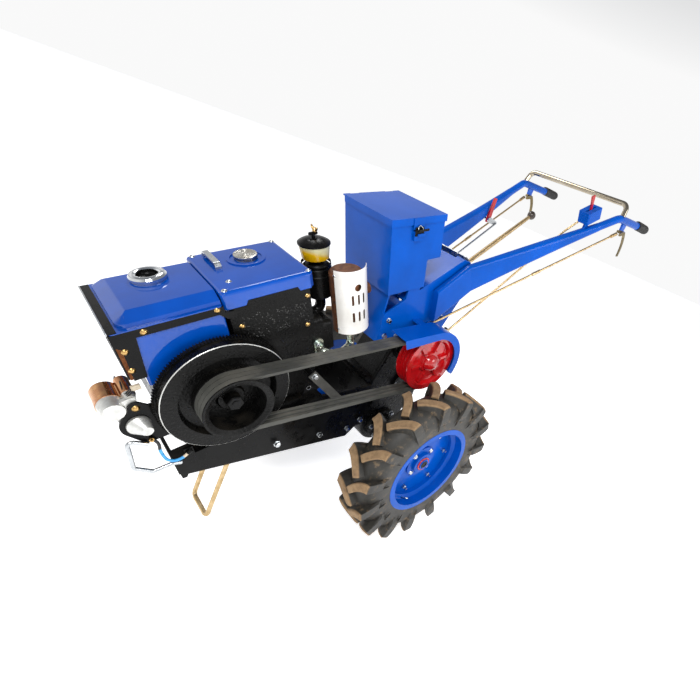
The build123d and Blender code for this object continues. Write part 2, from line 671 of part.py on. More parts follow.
SHIELD_RADIUS = MUFFLER_RADIUS + 7.0
SHIELD_THICK = 1.6
SHIELD_BOTTOM = 8.0
SHIELD_TOP = 212.0
with BuildPart() as shield:
    with BuildSketch(Plane.XY.offset(SHIELD_BOTTOM)):
        with BuildLine():
            start, end = radians(204), radians(334)
            inner, outer = SHIELD_RADIUS, SHIELD_RADIUS + SHIELD_THICK
            points = [(r * cos(a), r * sin(a)) for r, a in
                      ((inner, start), (inner, radians(269)), (inner, end),
                       (outer, end), (outer, radians(269)), (outer, start))]
            ThreePointArc(*points[:3])
            Line(points[2], points[3])
            ThreePointArc(*points[3:])
            Line(points[5], points[0])
        make_face()
    extrude(amount=SHIELD_TOP - SHIELD_BOTTOM)
    with BuildSketch(left(0)):
        with Locations((2, 160)):
            Circle(11)
        for z in (122, 66):
            with Locations((-16, z), (2, z), (20, z)):
                SlotCenterToCenter(26, 7, rotation=90)
    extrude(amount=80, mode=Mode.SUBTRACT)
    # screw pillars back to the silencer
    with BuildSketch(left(MUFFLER_RADIUS - 3)):
        with Locations((2, 200 - 12), (2, 22)):
            Circle(4)
    extrude(amount=SHIELD_RADIUS - MUFFLER_RADIUS + 3.5)
    with BuildSketch(Plane.XY.offset(MUFFLER_BOTTOM)):
        Circle(MUFFLER_RADIUS)
    extrude(amount=MUFFLER_TOP - MUFFLER_BOTTOM, mode=Mode.SUBTRACT)
shield.part.locate(ENGINE * Location((MUFFLER_X, MUFFLER_Y, 0)))
shield.part.label = "heat_shield"
export_step(shield.part, "parts/heat_shield.step")

# starter: motor and solenoid side by side, drive end with its nose, and the bracket
STARTER = (-213.0, 42.0)
STARTER_RADIUS = 26.0
SOLENOID = (-177.0, 52.0)
SOLENOID_RADIUS = 14.0
NOSE = (-185.0, -11.0)
NOSE_RADIUS = 23.0
STARTER_SPLIT = 84.0          # where the motor meets the drive end, left of the middle plane
BRACKET_FACE = 108.0
BRACKET_SHEET = 6.0
with BuildPart() as starter:
    for centre, radius, inner in ((STARTER, STARTER_RADIUS, 28), (SOLENOID, SOLENOID_RADIUS, 22)):
        with BuildSketch(left(inner)):
            with Locations(centre):
                Circle(radius)
        extrude(amount=STARTER_SPLIT - inner)
    # web between the two bodies
    with BuildSketch(left(40)):
        with Locations(STARTER, SOLENOID):
            Circle(9)
        make_hull()
    extrude(amount=STARTER_SPLIT - 40)
    fillet(starter.faces().sort_by(Axis.Y)[-1].edges(), 3)
starter.part.locate(ENGINE)
starter.part.label = "starter_motor"
export_step(starter.part, "parts/starter_motor.step")

with BuildPart() as starter_drive:
    for centre, radius, length in ((STARTER, STARTER_RADIUS - 1, 32), (SOLENOID, SOLENOID_RADIUS - 1, 20)):
        with BuildSketch(left(STARTER_SPLIT)):
            with Locations(centre):
                Circle(radius)
        extrude(amount=length, taper=8)
    with BuildSketch(left(BRACKET_FACE - 10)):
        for centre, radius in ((STARTER, 12), (SOLENOID, 8), (NOSE, NOSE_RADIUS - 2)):
            with Locations(centre):
                Circle(radius)
        make_hull()
    extrude(amount=10)
    # nose that holds the pinion, with its small end set over
    with BuildSketch(left(BRACKET_FACE)):
        with Locations(NOSE):
            Circle(NOSE_RADIUS)
    extrude(amount=12)
    with BuildSketch(left(BRACKET_FACE + 12)):
        with Locations(NOSE):
            Circle(NOSE_RADIUS)
    with BuildSketch(left(BRACKET_FACE + 34)):
        with Locations((NOSE[0] + 9, NOSE[1] - 6)):
            Circle(11)
    loft()
starter_drive.part.locate(ENGINE)
starter_drive.part.label = "starter_drive"
export_step(starter_drive.part, "parts/starter_drive.step")

TERMINAL = (-177.0, -58.0)
with BuildPart() as starter_bracket:
    with BuildSketch(left(BRACKET_FACE)):
        for centre, radius in (((-176, 33), 15), (NOSE, 34), ((-181, -61), 12), ((-112, -50), 24)):
            with Locations(centre):
                Circle(radius)
        make_hull()
        with Locations(NOSE):
            Circle(NOSE_RADIUS + FIT, mode=Mode.SUBTRACT)
        # notched round the end of the motor
        with Locations(STARTER):
            Circle(STARTER_RADIUS - 3, mode=Mode.SUBTRACT)
    extrude(amount=BRACKET_SHEET)
    # pad on the engine block, and the terminal with the lug of the lead
    with BuildSketch(left(-BLOCK_LEFT)):
        with Locations((-112, -50)):
            Circle(15)
    extrude(amount=BRACKET_FACE + BLOCK_LEFT)
    with BuildSketch(left(BRACKET_FACE + BRACKET_SHEET)):
        with Locations(TERMINAL):
            Circle(3)
    extrude(amount=14)
    lead_out = (LEAD_ROUTE[1] - LEAD_ROUTE[0]).normalized()
    with BuildSketch(Plane(origin=LEAD_ROUTE[0], z_dir=-lead_out)):
        Circle(LEAD_RADIUS + 1)
    extrude(amount=7)
starter_bracket.part.locate(ENGINE)
starter_bracket.part.label = "starter_bracket"
export_step(starter_bracket.part, "parts/starter_bracket.step")

# -------------------------------------------------------------------- belt drive
CRANK = MACHINE * Location((ENGINE_X, 0, ENGINE_Z))
CLUTCH = MACHINE * Location((CLUTCH_X, 0, CLUTCH_Z))
BELT_BOTTOM = 8.5
BELT_DEEP = 6.0               # of a belt's height inside the pitch line
PULLEY_WIDTH = (BELT_COUNT - 1) * BELT_PITCH + BELT_TOP + 9
BELT_LINES = [BELT_MID + (i - (BELT_COUNT - 1) / 2) * BELT_PITCH for i in range(BELT_COUNT)]


def groove(pitch, line):
    """Half section of one V-groove: belt plus clearance, as y and radius."""
    top = pitch + BELT_HEIGHT - BELT_DEEP
    slope = (BELT_TOP - BELT_BOTTOM) / 2 / BELT_HEIGHT
    bottom = pitch - BELT_DEEP - BELT_GAP
    lower = BELT_BOTTOM / 2 + BELT_GAP
    upper = lower + slope * (top + 3 - bottom)
    return [(-line - upper, top + 3), (-line - lower, bottom),
            (-line + lower, bottom), (-line + upper, top + 3)]


with BuildPart() as flywheel:
    with BuildSketch(Plane.YZ):
        with BuildLine():
            face = -FLYWHEEL_FACE
            back = face + FLYWHEEL_THICK
            Polyline((face + 18, 0), (face + 18, 104), (face, 112), (face, FLYWHEEL_RADIUS - 3),
                     (face + 3, FLYWHEEL_RADIUS), (back - 12, FLYWHEEL_RADIUS), (back - 12, RING_RADIUS),
                     (back, RING_RADIUS), (back, 116), (back - 10, 110), (back - 10, 46),
                     (back, 40), (back + 20, 40), (back + 20, CRANK_RADIUS),
                     (BLOCK_LEFT - 2, CRANK_RADIUS), (BLOCK_LEFT - 2, 0), close=True)
        make_face()
    revolve(axis=Axis.Y)
flywheel.part.locate(CRANK)
flywheel.part.label = "flywheel"
export_step(flywheel.part, "parts/flywheel.step")

PULLEY_RIM = 5.0              # land beyond the belt tops
with BuildPart() as crank_pulley:
    outer = ENGINE_PULLEY + BELT_HEIGHT - BELT_DEEP + 1
    with BuildSketch(Plane.YZ):
        with BuildLine():
            back = -FLYWHEEL_FACE + 18
            face = -BELT_MID - PULLEY_WIDTH / 2
            Polyline((back, 0), (back, outer), (face, outer), (face, outer - 5), (face + 7, outer - 16),
                     (back - 14, outer - 18), (back - 14, 34), (back - 22, 30), (back - 22, 0), close=True)
        make_face()
        for line in BELT_LINES:
            with BuildLine():
                Polyline(*groove(ENGINE_PULLEY, line), close=True)
            make_face(mode=Mode.SUBTRACT)
    revolve(axis=Axis.Y)
crank_pulley.part.locate(CRANK)
crank_pulley.part.label = "crank_pulley"
export_step(crank_pulley.part, "parts/crank_pulley.step")

with BuildPart() as clutch_pulley:
    outer = CLUTCH_PULLEY + BELT_HEIGHT - BELT_DEEP + 1
    with BuildSketch(Plane.YZ):
        with BuildLine():
            back = -BELT_MID + PULLEY_WIDTH / 2
            face = -BELT_MID - PULLEY_WIDTH / 2
            Polyline((back, outer), (face, outer), (face, outer - 18), (face + 14, outer - 24),
                     (face + 14, 40), (face + 4, 36), (face + 4, 16), (back, 16), (back, 52),
                     (back - 18, 56), (back - 18, outer - 24), (back, outer - 20), close=True)
        make_face()
        for line in BELT_LINES:
            with BuildLine():
                Polyline(*groove(CLUTCH_PULLEY, line), close=True)
            make_face(mode=Mode.SUBTRACT)
    revolve(axis=Axis.Y)
    with BuildSketch(left(BELT_MID + PULLEY_WIDTH / 2 - 15)):
        with PolarLocations(0, 6, start_angle=15):
            with Locations((58, 0)):
                Rectangle(46, 9)
    extrude(amount=11)
clutch_pulley.part.locate(CLUTCH)
clutch_pulley.part.label = "clutch_pulley"
export_step(clutch_pulley.part, "parts/clutch_pulley.step")

with BuildPart() as clutch_hub:
    with BuildSketch(Plane.YZ):
        with BuildLine():
            back = -BELT_MID + PULLEY_WIDTH / 2
            face = -BELT_MID - PULLEY_WIDTH / 2 + 4
            Polyline((back + 4, 0), (back + 4, 16), (face, 16), (face, 30), (face - 5, 30))
            Spline((face - 5, 30), (face - 16, 21), (face - 21, 0), tangents=((-0.3, -0.2), (0, -1)))
            Line((face - 21, 0), (back + 4, 0))
        make_face()
    revolve(axis=Axis.Y)
clutch_hub.part.locate(CLUTCH)
clutch_hub.part.label = "clutch_hub"
export_step(clutch_hub.part, "parts/clutch_hub.step")


def loop_points(grow):
    """Tangent points of the belt loop on both pulleys, grown from the pitch line."""
    small, large = ENGINE_PULLEY + grow, CLUTCH_PULLEY + grow
    span = hypot(CLUTCH_X - ENGINE_X, CLUTCH_Z - ENGINE_Z)
    lean = atan2(CLUTCH_Z - ENGINE_Z, CLUTCH_X - ENGINE_X)
    swing = asin((large - small) / span)
    result = []
    for x, z, radius in ((ENGINE_X, ENGINE_Z, small), (CLUTCH_X, CLUTCH_Z, large)):
        for sign in (1, -1):
            angle = lean + sign * (pi / 2 + swing)
            result.append((x + radius * cos(angle), z + radius * sin(angle)))
    front = (ENGINE_X - small * cos(lean), ENGINE_Z - small * sin(lean))
    rear = (CLUTCH_X + large * cos(lean), CLUTCH_Z + large * sin(lean))
    return result, front, rear


with BuildPart() as belts:
    (top_front, low_front, top_rear, low_rear), nose, tail = loop_points(0)
    with BuildLine(left(0)) as path:
        ThreePointArc(low_front, nose, top_front)
        Line(top_front, top_rear)
        ThreePointArc(top_rear, tail, low_rear)
        Line(low_rear, low_front)
    run = path.edges().filter_by(GeomType.LINE).sort_by(Axis.Z)[-1]
    origin = run @ 0
    along = run % 0
    for line in BELT_LINES:
        with BuildSketch(Plane(origin=origin, x_dir=(0, 1, 0), z_dir=along)) as section:
            outward = 1 if section.workplanes[0].y_dir.Z > 0 else -1
            with BuildLine():
                Polyline((-line - BELT_TOP / 2, outward * (BELT_HEIGHT - BELT_DEEP)),
                         (-line + BELT_TOP / 2, outward * (BELT_HEIGHT - BELT_DEEP)),
                         (-line + BELT_BOTTOM / 2, -outward * BELT_DEEP),
                         (-line - BELT_BOTTOM / 2, -outward * BELT_DEEP), close=True)
            make_face()
        sweep(path=path.line)
belts.part.locate(MACHINE)
belts.part.label = "v_belts"
export_step(belts.part, "parts/v_belts.step")

SIDE_PLATE_Y = 105.0          # inner face of each side plate
SIDE_PLATE = 6.0

# blue guard over the clutch pulley: a bent band with a lip on its outer side
GUARD_RADIUS = CLUTCH_PULLEY + 22.0
GUARD_SHEET = 2.5
GUARD_INNER = 148.0           # inboard edge, to the left of the middle plane
GUARD_OUTER = 224.0
GUARD_FRONT = -165.0
with BuildPart() as belt_guard:
    with BuildSketch(left(GUARD_INNER)):
        with BuildLine() as band:
            crest = (CLUTCH_X - 6, CLUTCH_Z + GUARD_RADIUS)
            tip = (CLUTCH_X + GUARD_FRONT, CLUTCH_Z + GUARD_RADIUS - 26)
            Line(tip, crest)
            RadiusArc(crest, (CLUTCH_X + GUARD_RADIUS * cos(radians(-22)),
                              CLUTCH_Z + GUARD_RADIUS * sin(radians(-22))), GUARD_RADIUS)
            offset(amount=GUARD_SHEET, side=Side.LEFT)
        make_face()
    extrude(amount=GUARD_OUTER - GUARD_INNER)
    with BuildSketch(left(GUARD_OUTER - GUARD_SHEET)):
        with BuildLine():
            low = GUARD_RADIUS - 24
            Line(tip, crest)
            RadiusArc(crest, (CLUTCH_X + GUARD_RADIUS * cos(radians(-22)),
                              CLUTCH_Z + GUARD_RADIUS * sin(radians(-22))), GUARD_RADIUS)
            Line((CLUTCH_X + GUARD_RADIUS * cos(radians(-22)), CLUTCH_Z + GUARD_RADIUS * sin(radians(-22))),
                 (CLUTCH_X + low * cos(radians(-22)), CLUTCH_Z + low * sin(radians(-22))))
            RadiusArc((CLUTCH_X + low * cos(radians(-22)), CLUTCH_Z + low * sin(radians(-22))),
                      (CLUTCH_X - 6, CLUTCH_Z + low), -low)
            Polyline((CLUTCH_X - 6, CLUTCH_Z + low), (tip[0] + 14, tip[1] - 28), tip)
        make_face()
    extrude(amount=GUARD_SHEET)
    # strap to the side plate of the handle frame
    with BuildSketch(Plane.XY.offset(CLUTCH_Z + GUARD_RADIUS - 9)):
        with Locations((CLUTCH_X - 34, -(GUARD_INNER + 2 + SIDE_PLATE_Y + SIDE_PLATE) / 2)):
            Rectangle(34, GUARD_INNER + 2 - SIDE_PLATE_Y - SIDE_PLATE)
    extrude(amount=6)
belt_guard.part.locate(MACHINE)
belt_guard.part.label = "belt_guard"
export_step(belt_guard.part, "parts/belt_guard.step")

ROD_FOOT = (40.0, 734.0)      # lower end of both steering rods

# ------------------------------------------------------------------ handle frame
BOX_FRONT = -24.0             # toolbox, in its own level axes
BOX_BOTTOM = 563.0
FLANGE_WIDTH = 30.0
TROUGH = ((-100, 816), (116, 977))        # line of the folded top flanges


def box_base(x):
    """Height of the toolbox's underside at an x of the machine."""
    lean = radians(TOOLBOX_TILT)
    rise = TYRE_RADIUS + BOX_BOTTOM / cos(lean)
    return rise + x * sin(lean) / cos(lean)


with BuildPart() as handle_frame:
    for inner in (SIDE_PLATE_Y, -SIDE_PLATE_Y - SIDE_PLATE):
        with BuildSketch(left(inner)):
            with BuildLine():
                Polyline((-166, 668), (-166, 764), TROUGH[0], (-96, 819), (-96, box_base(-96)),
                         (-50, box_base(-50)), (-50, 853.3), TROUGH[1], (150, 972), (196, 900),
                         (120, 712), (60, 664), (-166, 668))
            make_face()
        extrude(amount=SIDE_PLATE)
    # inward flanges along the top of both plates, and the sheet between them
    slope = Vector(TROUGH[1][0] - TROUGH[0][0], 0, TROUGH[1][1] - TROUGH[0][1])
    cross = Plane(origin=(TROUGH[0][0], 0, TROUGH[0][1]), x_dir=(0, 1, 0), z_dir=slope)
    with BuildSketch(cross):
        for side in (-1, 1):
            with Locations((side * (SIDE_PLATE_Y - FLANGE_WIDTH / 2), -cross.y_dir.Z / abs(cross.y_dir.Z) * 3)):
                Rectangle(FLANGE_WIDTH + 2, 6)
    extrude(amount=slope.length)
    with BuildSketch(left(0)):
        with BuildLine():
            Polyline((-46, 826), (140, 964), (140, 956), (-41, 820), close=True)
        make_face()
    extrude(amount=SIDE_PLATE_Y, both=True)
    # front sheet, up to the underside of the toolbox
    with BuildSketch(left(0)):
        with BuildLine():
            Polyline((-166, 668), (-166, box_base(-166)), (-160, box_base(-160)), (-160, 668), close=True)
        make_face()
    extrude(amount=SIDE_PLATE_Y, both=True)
    # floor on top of the gearbox, with the hole of the gear lever
    with BuildSketch(Plane.XY.offset(CLUTCH_Z + 66)):
        with Locations((-38, 0)):
            Rectangle(250, 2 * SIDE_PLATE_Y)
        with Locations((LEVER_X0, 0)):
            Circle(16, mode=Mode.SUBTRACT)
    extrude(amount=SIDE_PLATE)
    with BuildSketch(Plane.XY.offset(CLUTCH_Z + 60)):
        with Locations((CLUTCH_X, 0)):
            Rectangle(60, 100)
    extrude(amount=8)
    # pins of the steering rods
    for side in (-1, 1):
        with BuildSketch(left(side * (SIDE_PLATE_Y + SIDE_PLATE))):
            with Locations(ROD_FOOT):
                Circle(5)
        extrude(amount=side * 4)
    with BuildSketch(Plane.XZ):
        for x, z, radius in GEARBOX_LOBES:
            with Locations((x, z)):
                Circle(radius)
        make_hull()
    extrude(amount=GEARBOX_HALF, both=True, mode=Mode.SUBTRACT)
    with BuildSketch(left(SIDE_PLATE_Y - 2)):
        with Locations((CLUTCH_X, CLUTCH_Z)):
            Circle(60)
    extrude(amount=SIDE_PLATE + 4, mode=Mode.SUBTRACT)
handle_frame.part.locate(MACHINE)
handle_frame.part.label = "handle_frame"
export_step(handle_frame.part, "parts/handle_frame.step")

GATE_SLOT = -43.0             # where the gear lever passes, down the gate
with BuildPart() as gate:
    gate_plane = Plane(origin=(186, 0, 925), x_dir=(0, 1, 0), z_dir=(0.84, 0, 0.54))
    with BuildSketch(gate_plane):
        with Locations((0, -4)):
            RectangleRounded(2 * SIDE_PLATE_Y, 136, 30)
        with Locations((0, GATE_SLOT)):
            SlotCenterToCenter(110, 24, mode=Mode.SUBTRACT)
        with Locations([(36 * i, GATE_SLOT) for i in (-1, 0, 1)]):
            Rectangle(22, 56, mode=Mode.SUBTRACT)
    extrude(amount=4)
    add(handle_frame.part.moved(DRAWN), mode=Mode.SUBTRACT)
gate.part.locate(MACHINE)
gate.part.label = "shift_gate"
export_step(gate.part, "parts/shift_gate.step")

LEVER_FOOT = (LEVER_X0, 0.0, LEVER_SOCKET)
LEVER_KNEE = (110.0, 0.0, 806.0)
LEVER_KNOB = (566.0, 0.0, 1183.0)
with BuildPart() as gear_lever:
    rise = Vector(*LEVER_KNOB) - Vector(*LEVER_KNEE)
    for share, radius in ((0, 6), (0.55, 9), (0.98, 7)):
        with BuildSketch(Plane(origin=Vector(*LEVER_KNEE) + rise * share, z_dir=rise)):
            Circle(radius)
    loft()
    with BuildLine() as path:
        Line(LEVER_FOOT, LEVER_KNEE)
    with BuildSketch(Plane(origin=LEVER_FOOT, z_dir=path.line % 0)):
        Circle(7)
    sweep(path=path.line)
    with Locations(LEVER_KNEE):
        Sphere(8)
    with Locations(LEVER_KNOB):
        Sphere(17)
    add(gearbox.part.moved(DRAWN), mode=Mode.SUBTRACT)
gear_lever.part.locate(MACHINE)
gear_lever.part.label = "gear_lever"
export_step(gear_lever.part, "parts/gear_lever.step")

# ---------------------------------------------------------------- handlebars
BAR_RISE = 30.5               # rise of the straight part, degrees
FOOT_RISE = 14.0              # the foot's end is cut steeper
BAR_IN = SIDE_PLATE_Y + SIDE_PLATE        # flat inner face of a foot
LEVER_X = 880.0               # pivot of the steering levers
bars = {}
for side, name in ((-1, "left"), (1, "right")):
    heel = Vector(FOOT_X, side * (BAR_IN + 15), FOOT_Z)
    middle = Vector(518, side * 200, 1135)
    neck = Vector(690, side * 240, 1238)
    flat = (neck - heel).normalized()
    foot_normal = Vector(cos(radians(FOOT_RISE)), 0, sin(radians(FOOT_RISE)))
    heel_normal = Vector(cos(radians(BAR_RISE)), 0, sin(radians(BAR_RISE)))
    with BuildPart() as handlebar:
        for start, normal, width, depth in ((Vector(25, side * (BAR_IN + 14), 807), foot_normal, 28, 113),
                                            (heel, heel_normal, 28, 100)):
            with BuildSketch(Plane(origin=start, x_dir=(0, side, 0), z_dir=normal)):
                RectangleRounded(width, depth, 9)
        loft()
        for start, normal, width, depth, radius in ((heel, heel_normal, 28, 100, 9),
                                                    (middle, flat, 34, 50, 13),
                                                    (neck, flat, 33, 33.5, 16)):
            with BuildSketch(Plane(origin=start, x_dir=(0, side, 0), z_dir=normal)):
                RectangleRounded(width, depth, radius)
        loft()
        with BuildLine() as path:
            FilletPolyline(neck, (800, side * 262, 1302), (GRIP_END - 10, side * BAR_HALF, BAR_TOP + 4),
                           radius=90)
        with BuildSketch(Plane(origin=path.line @ 0, z_dir=path.line % 0)):
            Circle(BAR_TUBE)
        sweep(path=path.line)
        add(handle_frame.part.moved(DRAWN), mode=Mode.SUBTRACT)
    bars[name] = handlebar.part.moved(Location())
    handlebar.part.locate(MACHINE)
    handlebar.part.label = f"handlebar_{name}"
    export_step(handlebar.part, f"parts/handlebar_{name}.step")

    with BuildPart() as grip:
        with BuildSketch(Plane.YZ.offset(GRIP_END - GRIP_LENGTH)):
            with Locations((side * BAR_HALF, BAR_TOP + 3)):
                Circle(BAR_TUBE + 3.5)
        extrude(amount=GRIP_LENGTH)
        fillet(grip.edges().group_by(Axis.X)[-1], 8)
        add(bars[name], mode=Mode.SUBTRACT)
    grip.part.locate(MACHINE)
    grip.part.label = f"grip_{name}"
    export_step(grip.part, f"parts/grip_{name}.step")

    # steering lever: bracket under the bar, pin and curved squeeze lever
    with BuildPart() as steering_lever:
        with BuildSketch(left(-side * (BAR_HALF - 6) + 5)):
            with BuildLine():
                Polyline((LEVER_X - 26, BAR_TOP - 6), (LEVER_X + 14, BAR_TOP - 6),
                         (LEVER_X + 10, BAR_TOP - 58), (LEVER_X - 16, BAR_TOP - 58), close=True)
            make_face()
        extrude(amount=-10)
        add(bars[name], mode=Mode.SUBTRACT)
        with BuildSketch(left(-side * (BAR_HALF - 6) + 16)):
            with Locations((LEVER_X - 3, BAR_TOP - 52)):
                Circle(5)
        extrude(amount=-32)
        with BuildSketch(left(-side * (BAR_HALF - 6) + 11)):
            with BuildLine():
                Spline((LEVER_X - 12, BAR_TOP - 48), (LEVER_X + 30, BAR_TOP - 96),
                       (LEVER_X + 44, BAR_TOP - 150))
                Line((LEVER_X + 44, BAR_TOP - 150), (LEVER_X + 58, BAR_TOP - 148))
                Spline((LEVER_X + 58, BAR_TOP - 148), (LEVER_X + 44, BAR_TOP - 88),
                       (LEVER_X + 8, BAR_TOP - 44))
                Line((LEVER_X + 8, BAR_TOP - 44), (LEVER_X - 12, BAR_TOP - 48))
            make_face()
        extrude(amount=5)
        # arm that pulls the rod
        with BuildSketch(left(-side * (BAR_HALF - 6) + 11)):
            with Locations((LEVER_X - 3, BAR_TOP - 52)):
                Circle(9)
            with Locations((LEVER_X - 30, BAR_TOP - 62)):
                Circle(7)
            make_hull()
        extrude(amount=5)
    steering_lever.part.locate(MACHINE)
    steering_lever.part.label = f"steering_lever_{name}"
    export_step(steering_lever.part, f"parts/steering_lever_{name}.step")

    # pull rod with a fork at the top, a turnbuckle and an eye on the frame's pin
    rod_top = Vector(LEVER_X - 36, side * (BAR_HALF - 6), BAR_TOP - 64)
    rod_low = Vector(ROD_FOOT[0], side * (BAR_IN + 8), ROD_FOOT[1])
    with BuildPart() as steering_rod:
        along = rod_low - rod_top
        with BuildSketch(Plane(origin=rod_top, z_dir=along)):
            Circle(4)
        extrude(amount=along.length)
        for share, length, radius in ((0.0, 36, 7), (0.46, 40, 6)):
            with BuildSketch(Plane(origin=rod_top + along * share, z_dir=along)):
                Circle(radius)
            extrude(amount=length)
        with BuildSketch(left(-side * (BAR_IN + 4))):
            with Locations(ROD_FOOT):
                Circle(9)
        extrude(amount=-side * 8)
        add(steering_lever.part.moved(DRAWN), mode=Mode.SUBTRACT)
    steering_rod.part.locate(MACHINE)
    steering_rod.part.label = f"steering_rod_{name}"
    export_step(steering_rod.part, f"parts/steering_rod_{name}.step")

CROSS_TUBE = 11.0
CROSS_FOOT_X = 812.0
CROSS_TOP = 1362.0
with BuildPart() as crossbar:
    with BuildLine() as path:
        FilletPolyline((CROSS_FOOT_X, -BAR_HALF + 2, BAR_TOP + 4),
                       (CROSS_FOOT_X + 16, -BAR_HALF + 10, CROSS_TOP),
                       (CROSS_FOOT_X + 16, BAR_HALF - 10, CROSS_TOP),
                       (CROSS_FOOT_X, BAR_HALF - 2, BAR_TOP + 4), radius=28)
    with BuildSketch(Plane(origin=path.line @ 0, z_dir=path.line % 0)):
        Circle(CROSS_TUBE)
    sweep(path=path.line)
    add(list(bars.values()), mode=Mode.SUBTRACT)
crossbar.part.locate(MACHINE)
crossbar.part.label = "crossbar"
export_step(crossbar.part, "parts/crossbar.step")

# throttle: folded box on a post beside the left bar, with its lever
THROTTLE = Plane(origin=(612, -222, 1268), x_dir=(0.86, -0.05, 0.51), z_dir=(-0.51, 0, 0.86))
with BuildPart() as throttle_box:
    with BuildSketch(THROTTLE):
        RectangleRounded(84, 52, 6)
    extrude(amount=22, both=True)
    with BuildSketch(THROTTLE.offset(22)):
        Rectangle(60, 9)
    extrude(amount=-26, mode=Mode.SUBTRACT)
    with BuildSketch(Plane.XY.offset(1190)):
        with Locations((618, -222)):
            Rectangle(26, 8)
    extrude(amount=66)
    add(bars["left"], mode=Mode.SUBTRACT)
throttle_box.part.locate(MACHINE)
throttle_box.part.label = "throttle_box"
export_step(throttle_box.part, "parts/throttle_box.step")

with BuildPart() as throttle_lever:
    with BuildSketch(Plane(THROTTLE.origin, x_dir=THROTTLE.x_dir, z_dir=-THROTTLE.y_dir).offset(-3)):
        with BuildLine():
            Polyline((-3, -4), (3, -4), (6, 40), (10, 74), (-10, 74), (-6, 40), close=True)
        make_face()
    extrude(amount=6)
throttle_lever.part.locate(MACHINE)
throttle_lever.part.label = "throttle_lever"
export_step(throttle_lever.part, "parts/throttle_lever.step")

# clutch lever on a pin in the right bar, with its bell crank and pull rod
CLUTCH_LEVER = Vector(520, 172, 1100)
PIVOT = (CLUTCH_LEVER.X, CLUTCH_LEVER.Z)
LINK_FOOT = Vector(70, 84, 742)
with BuildPart() as clutch_lever:
    with BuildSketch(left(-CLUTCH_LEVER.Y)):
        with BuildLine():
            Polyline((PIVOT[0] - 12, PIVOT[1] - 12), (PIVOT[0] + 12, PIVOT[1] - 12),
                     (PIVOT[0] + 6, PIVOT[1] + 92), (PIVOT[0] - 8, PIVOT[1] + 92), close=True)
        make_face()
        with Locations(PIVOT):
            Circle(6 + FIT, mode=Mode.SUBTRACT)
    extrude(amount=4, both=True)
clutch_lever.part.locate(MACHINE)
clutch_lever.part.label = "clutch_lever"
export_step(clutch_lever.part, "parts/clutch_lever.step")

with BuildPart() as clutch_link:
    with BuildSketch(left(-CLUTCH_LEVER.Y - 26)):
        with Locations(PIVOT):
            Circle(6)
    extrude(amount=38)
    with BuildSketch(left(-CLUTCH_LEVER.Y + 12)):
        with Locations(PIVOT):
            Circle(12)
        with Locations((PIVOT[0] + 44, PIVOT[1] - 5)):
            Circle(8)
        make_hull()
    extrude(amount=-7)
    link_top = Vector(PIVOT[0] + 44, CLUTCH_LEVER.Y - 14, PIVOT[1] - 5)
    with BuildSketch(Plane(origin=link_top, z_dir=LINK_FOOT - link_top)):
        Circle(4)
    extrude(amount=(LINK_FOOT - link_top).length)
    with BuildSketch(left(-SIDE_PLATE_Y)):
        with Locations((LINK_FOOT.X, LINK_FOOT.Z)):
            Circle(8)
    extrude(amount=SIDE_PLATE_Y - LINK_FOOT.Y + 4)
    add(bars["right"], mode=Mode.SUBTRACT)
clutch_link.part.locate(MACHINE)
clutch_link.part.label = "clutch_link"
export_step(clutch_link.part, "parts/clutch_link.step")

# rod from the throttle box to the release arm, passing inboard of the left bar
THROTTLE_ROD_TOP = Vector(600, -200, 1236)
THROTTLE_ROD_LOW = Vector(ARM_END[0], -GEARBOX_HALF - 30, ARM_END[1])
with BuildPart() as throttle_rod:
    bend = Vector(560, -176, 1176)
    with BuildLine() as path:
        FilletPolyline(THROTTLE_ROD_TOP, bend, THROTTLE_ROD_LOW, radius=60)
    with BuildSketch(Plane(origin=path.line @ 0, z_dir=path.line % 0)):
        Circle(4)
    sweep(path=path.line)
    with BuildSketch(left(GEARBOX_HALF + 26)):
        with Locations(ARM_END):
            Circle(8)
    extrude(amount=8)
    add(throttle_box.part.moved(DRAWN), mode=Mode.SUBTRACT)
throttle_rod.part.locate(MACHINE)
throttle_rod.part.label = "throttle_rod"
export_step(throttle_rod.part, "parts/throttle_rod.step")

